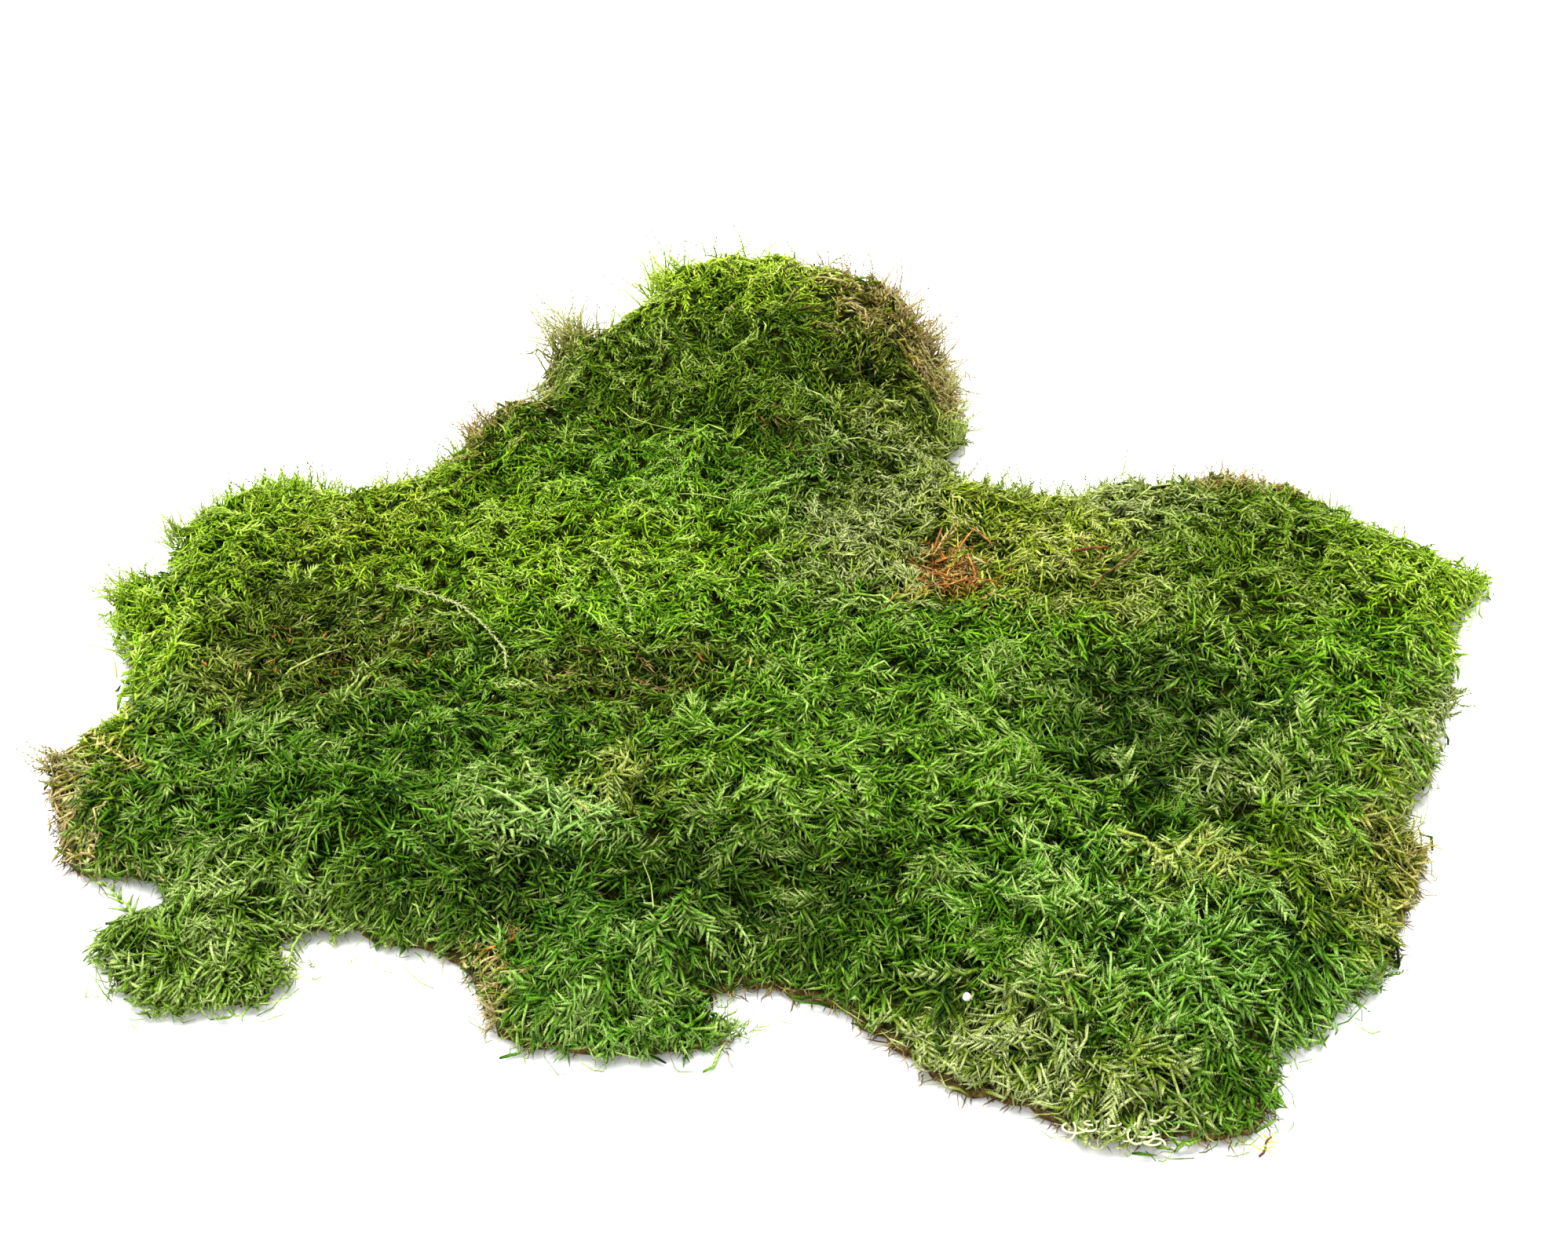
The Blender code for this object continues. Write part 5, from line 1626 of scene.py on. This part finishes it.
print("faces of a tube with 14 rings of 6:", len(tube_faces(14, 6)))

# %% [markdown]
# Fallen needles are flat, pointed at both ends, and orange-brown where they are dry. Each is a
# tube of half the height, sunk a little at its ends so that it lies in the moss.

# %% Needles
NEEDLE_RADIUS = 0.4
NEEDLE_RINGS = 14
needle_look = grainy_material(
    "dry_needles", (84, 48, 14), (160, 92, 30), (204, 138, 64), 0.5, 300, 0.0002, 0.2
)
s = np.linspace(0, 1, NEEDLE_RINGS)
needle_radius = NEEDLE_RADIUS * np.clip(np.sin(math.pi * (0.04 + 0.92 * s)) * 1.5, 0.12, 1)
for node in [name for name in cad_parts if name.startswith("needle_")]:
    line = middle_line(node, NEEDLE_RINGS)
    line[:, 2] -= 0.6 - 0.5 * np.sin(math.pi * s)
    put_piece(node + "_dry", *carried(line, needle_radius, 6, 0.5, 0.05), needle_look, "dry_needle", node)

# %% [markdown]
# The twig and the shorter red stick are rough round tubes that grow thinner to one end. They are
# let down by half a millimetre, for the moss carries them between its tips.

# %% Twig and stick
TWIG_RINGS = 22
SUNK = (0, 0, 0.5)
bark_look = grainy_material("brown_bark", (48, 36, 16), (98, 76, 38), (140, 116, 68), 0.8, 420, 0.0004)
red_bark_look = grainy_material("red_bark", (66, 34, 14), (112, 64, 30), (146, 98, 54), 0.7, 420, 0.0003)
s = np.linspace(0, 1, TWIG_RINGS)
twig = carried(middle_line("brown_twig", TWIG_RINGS) - SUNK, 0.6 - 0.25 * s, 8, 0.9, 0.12)
put_piece("brown_twig_bark", *twig, bark_look, "bark", "brown_twig")
stick = carried(middle_line("red_stick", TWIG_RINGS) - SUNK, 0.5 - 0.15 * s, 8, 0.9, 0.08)
put_piece("red_stick_bark", *stick, red_bark_look, "red_bark", "red_stick")

# %% [markdown]
# Dry strands of grass or moss stalk lie in thin arcs on the hill and the turf. They are the
# thinnest tubes, with five sides, because at a fifth of a millimetre no one can count them.

# %% Dry strands
STRAND_RINGS = 18
strand_look = grainy_material(
    "dry_strands", (120, 134, 58), (160, 172, 82), (198, 202, 124), 0.6, 120, 0.0001, 0.3
)
strand_radius = 0.22 - 0.08 * np.linspace(0, 1, STRAND_RINGS)
for node in [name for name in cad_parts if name.startswith("grass_strand_")]:
    strand = carried(middle_line(node, STRAND_RINGS), strand_radius, 5)
    put_piece(node + "_dry", *strand, strand_look, "dry_grass", node)

# %% [markdown]
# A pale runner of another moss lies across the turf like a fine cord with feathers. It is made of
# shoots again: one from each point of its line to a little past the next, so that they overlap
# like links, and short leaves on four sides of them.

# %% The pale feathered runner
runner_look = moss_material("pale_runner_leaves", 0.5)
LEAF_ROWS = ((1, 0.8, 0.2, 1.0), (-1, 0.8, 0.2, 1.0), (1, 0.4, 0.8, 0.7), (-1, 0.4, 0.8, 0.7))
RUNNER_RINGS = 3


def feathered(line, stem_width, longest, tone):
    """A runner along a line: a shoot from each point of it to a little past the next, and four rows
    of side leaves, two spread flat and two raised. A leaf row is its side, its turn out from the
    line in radians, its lift and its share of the longest leaf."""
    count = len(line)
    run = unit(np.gradient(line, axis=0))
    normal = upright(count)
    side = unit(np.cross(normal, run))
    hue = np.full(count, TONE_AT[tone])
    none = np.zeros(count)
    s = np.linspace(0, 1, count)
    parts = []
    for hand, turn, lift, share in LEAF_ROWS:
        way = unit(run * math.cos(turn) + side * hand * math.sin(turn) + normal * lift)
        length = longest * share * (1 - 0.5 * s) * rng.uniform(0.6, 1.3, count)
        start = line + rng.normal(0, 0.15, line.shape)
        age = np.tile([0.55, 0.86], (count, 1))
        width = np.full(count, 0.6 * stem_width)
        bend = run * length[:, None] * 0.3
        tones = (hue, hue, none)
        parts.append(leafy_shoots(start, way, normal, length, width, bend, tones, age, RUNNER_RINGS))
    step = line[1:] - line[:-1]
    length = 1.6 * np.linalg.norm(step, axis=1)
    width = np.full(len(step), stem_width)
    age = np.tile([0.62, 0.9], (len(step), 1))
    tones = (hue[1:], hue[1:], none[1:])
    links = (line[:-1], unit(step), normal[1:], length, width, 0 * step)
    parts.append(leafy_shoots(*links, tones, age, RUNNER_RINGS))
    return join_parts(parts)


runner_line = middle_line("pale_runner", 30) - (0, 0, 0.9)
points, faces, maps = feathered(runner_line, 1.2, 2.1, "sage")
put_piece("pale_runner_feathers", points, faces, runner_look, "pale_moss", "pale_runner", maps)

# %% [markdown]
# A second, fainter runner lies left of it. It hardly rises above the turf, so it has no solid of
# its own: its line is a gentle wave laid on the surface.

# %% The faint runner
s = np.linspace(0, 1, 20)
faint_x = -71 + 13 * s + 5 * np.sin(2.6 * s)
faint_y = 46 - 37 * s
faint_line = np.column_stack([faint_x, faint_y, read(height_map, faint_x, faint_y) + 0.6])
points, faces, maps = feathered(faint_line, 1.3, 2.2, "grey_green")
put_piece("faint_runner", points, faces, runner_look, "living_moss", None, maps)

# %% [markdown]
# The white grain at the front is a tiny snail shell or a crumb of stone. A sphere would look like
# a bead, so its rings bulge by a slow wave that winds round it. It is the tube's set of faces
# again, run from pole to pole.

# %% The white grain
GRAIN_SIDES = 20
GRAIN_RINGS = 13
GRAIN_SCALE = 0.37
grain_low, grain_high = (np.array(corner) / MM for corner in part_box("white_grain"))
turns = np.linspace(0, 2 * math.pi, GRAIN_SIDES + 1)[:-1]
turn, rise = np.meshgrid(turns, np.linspace(0.02, math.pi - 0.02, GRAIN_RINGS), indexing="xy")
shell = 1 + 0.05 * np.cos(2 * turn + 3 * rise)
around = [np.sin(rise) * np.cos(turn) * shell, np.sin(rise) * np.sin(turn) * shell, np.cos(rise) * 0.92]
ball = (grain_low + grain_high) / 2 - SUNK + np.stack(around, -1) * (grain_high - grain_low) * GRAIN_SCALE
poles = np.array([ball[0].mean(0), ball[-1].mean(0)])
points, faces = np.vstack([ball.reshape(-1, 3), poles]), tube_faces(GRAIN_RINGS, GRAIN_SIDES)
shell_look = grainy_material(
    "shell_white", (214, 210, 196), (236, 234, 226), (248, 248, 244), 0.35, 500, 0.0001, 0.5
)
put_piece("white_grain_shell", points, faces, shell_look, "pale_shell", "white_grain")

# %% [markdown]
# At the front rim a tuft of pale, bare moss strands hangs out in small loops. Each is a thin tube
# along part of a circle that opens a little, turned at random.

# %% Looped pale strands
LOOPS = 44
LOOP_POINTS = 12
LOOP_RADIUS = 0.3
loop_look = grainy_material(
    "pale_loops", (176, 180, 124), (212, 214, 166), (236, 238, 204), 0.6, 260, 0.0001, 0.2
)
tubes = []
for _ in range(LOOPS):
    size = rng.uniform(1.3, 3.2)
    arc = np.linspace(0, rng.uniform(2.4, 5.4), LOOP_POINTS) + rng.uniform(0, 2 * math.pi)
    tilt = rng.uniform(-0.9, 0.9)
    middle = np.array([rng.normal(86, 7), rng.normal(-181.5, 2.2), rng.uniform(2.0, 7.5)])
    shape = np.column_stack([np.cos(arc), np.sin(arc) * math.cos(tilt), np.sin(arc) * math.sin(tilt)])
    line = middle + size * shape * np.linspace(0.8, 1.2, LOOP_POINTS)[:, None]
    line[:, 2] = np.maximum(line[:, 2], 0.7)
    tubes.append(carried(line, np.full(LOOP_POINTS, LOOP_RADIUS), 5))
put_piece("pale_loops", *join_pairs(tubes), loop_look, "pale_moss")

# %% [markdown]
# Last, a seedling stands at the front right corner: a thin red stem with a slight wave in it,
# inside the box of its solid.

# %% The seedling's stem
low, high = (np.array(corner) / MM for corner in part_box("corner_seedling"))
stem_red = grainy_material(
    "seedling_stem", (84, 34, 20), (118, 56, 36), (150, 88, 60), 0.6, 700, 0.0001, 0.3
)
s = np.linspace(0, 1, 16)[:, None]
foot = np.array([(low[0] + high[0]) / 2 - 1.0, (low[1] + high[1]) / 2, low[2] + 0.4])
head = np.array([(low[0] + high[0]) / 2 + 1.0, (low[1] + high[1]) / 2 + 0.5, high[2] - 1.0])
stem_line = foot + (head - foot) * s + np.array([0.5, 0, 0]) * np.sin(2 * math.pi * s)
stem = carried(stem_line, 0.42 - 0.14 * s[:, 0], 7, 1.0, 0.06)
put_piece("corner_seedling_stem", *stem, stem_red, "seedling_green", "corner_seedling")

# %% [markdown]
# Its small leaves wind up the stem, each 2.4 radians further round than the last, as on most
# plants, and they get shorter to the top. They are thin shoots of five rings, bent down.

# %% The seedling's leaves
SEEDLING_LEAVES = 9
LEAF_TURN = 2.4
leaf_fresh = grainy_material(
    "seedling_leaf", (150, 172, 60), (186, 204, 84), (214, 222, 130), 0.5, 600, 0.0002, 0.3
)
at = np.linspace(0.22, 1.0, SEEDLING_LEAVES)
joints = foot + (head - foot) * at[:, None]
level = level_ways(np.arange(SEEDLING_LEAVES) * LEAF_TURN + 0.4)
way = unit(level + np.array([0, 0, 0.7]))
length = np.minimum(high[0] - low[0], high[1] - low[1]) * (0.5 - 0.16 * at)
bend = level * length[:, None] * 0.3 - np.array([0, 0, 1.0])
leaves = thin_pieces(joints, way, length, 1.1 - 0.4 * at, bend, 5)
put_piece("corner_seedling_leaves", *leaves, leaf_fresh, "seedling_green", "corner_seedling")

# %% [markdown]
# The box of the whole mat is measured once more and written beside the solids' own box, so that
# one can see how far the moss reaches past them: tips of shoots, a few millimetres.

# %% Sizes and finish
box_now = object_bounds()
for label, box in (("cad box", cad_box), ("visual box", box_now)):
    print(label, np.round(np.array(box), 4).tolist())
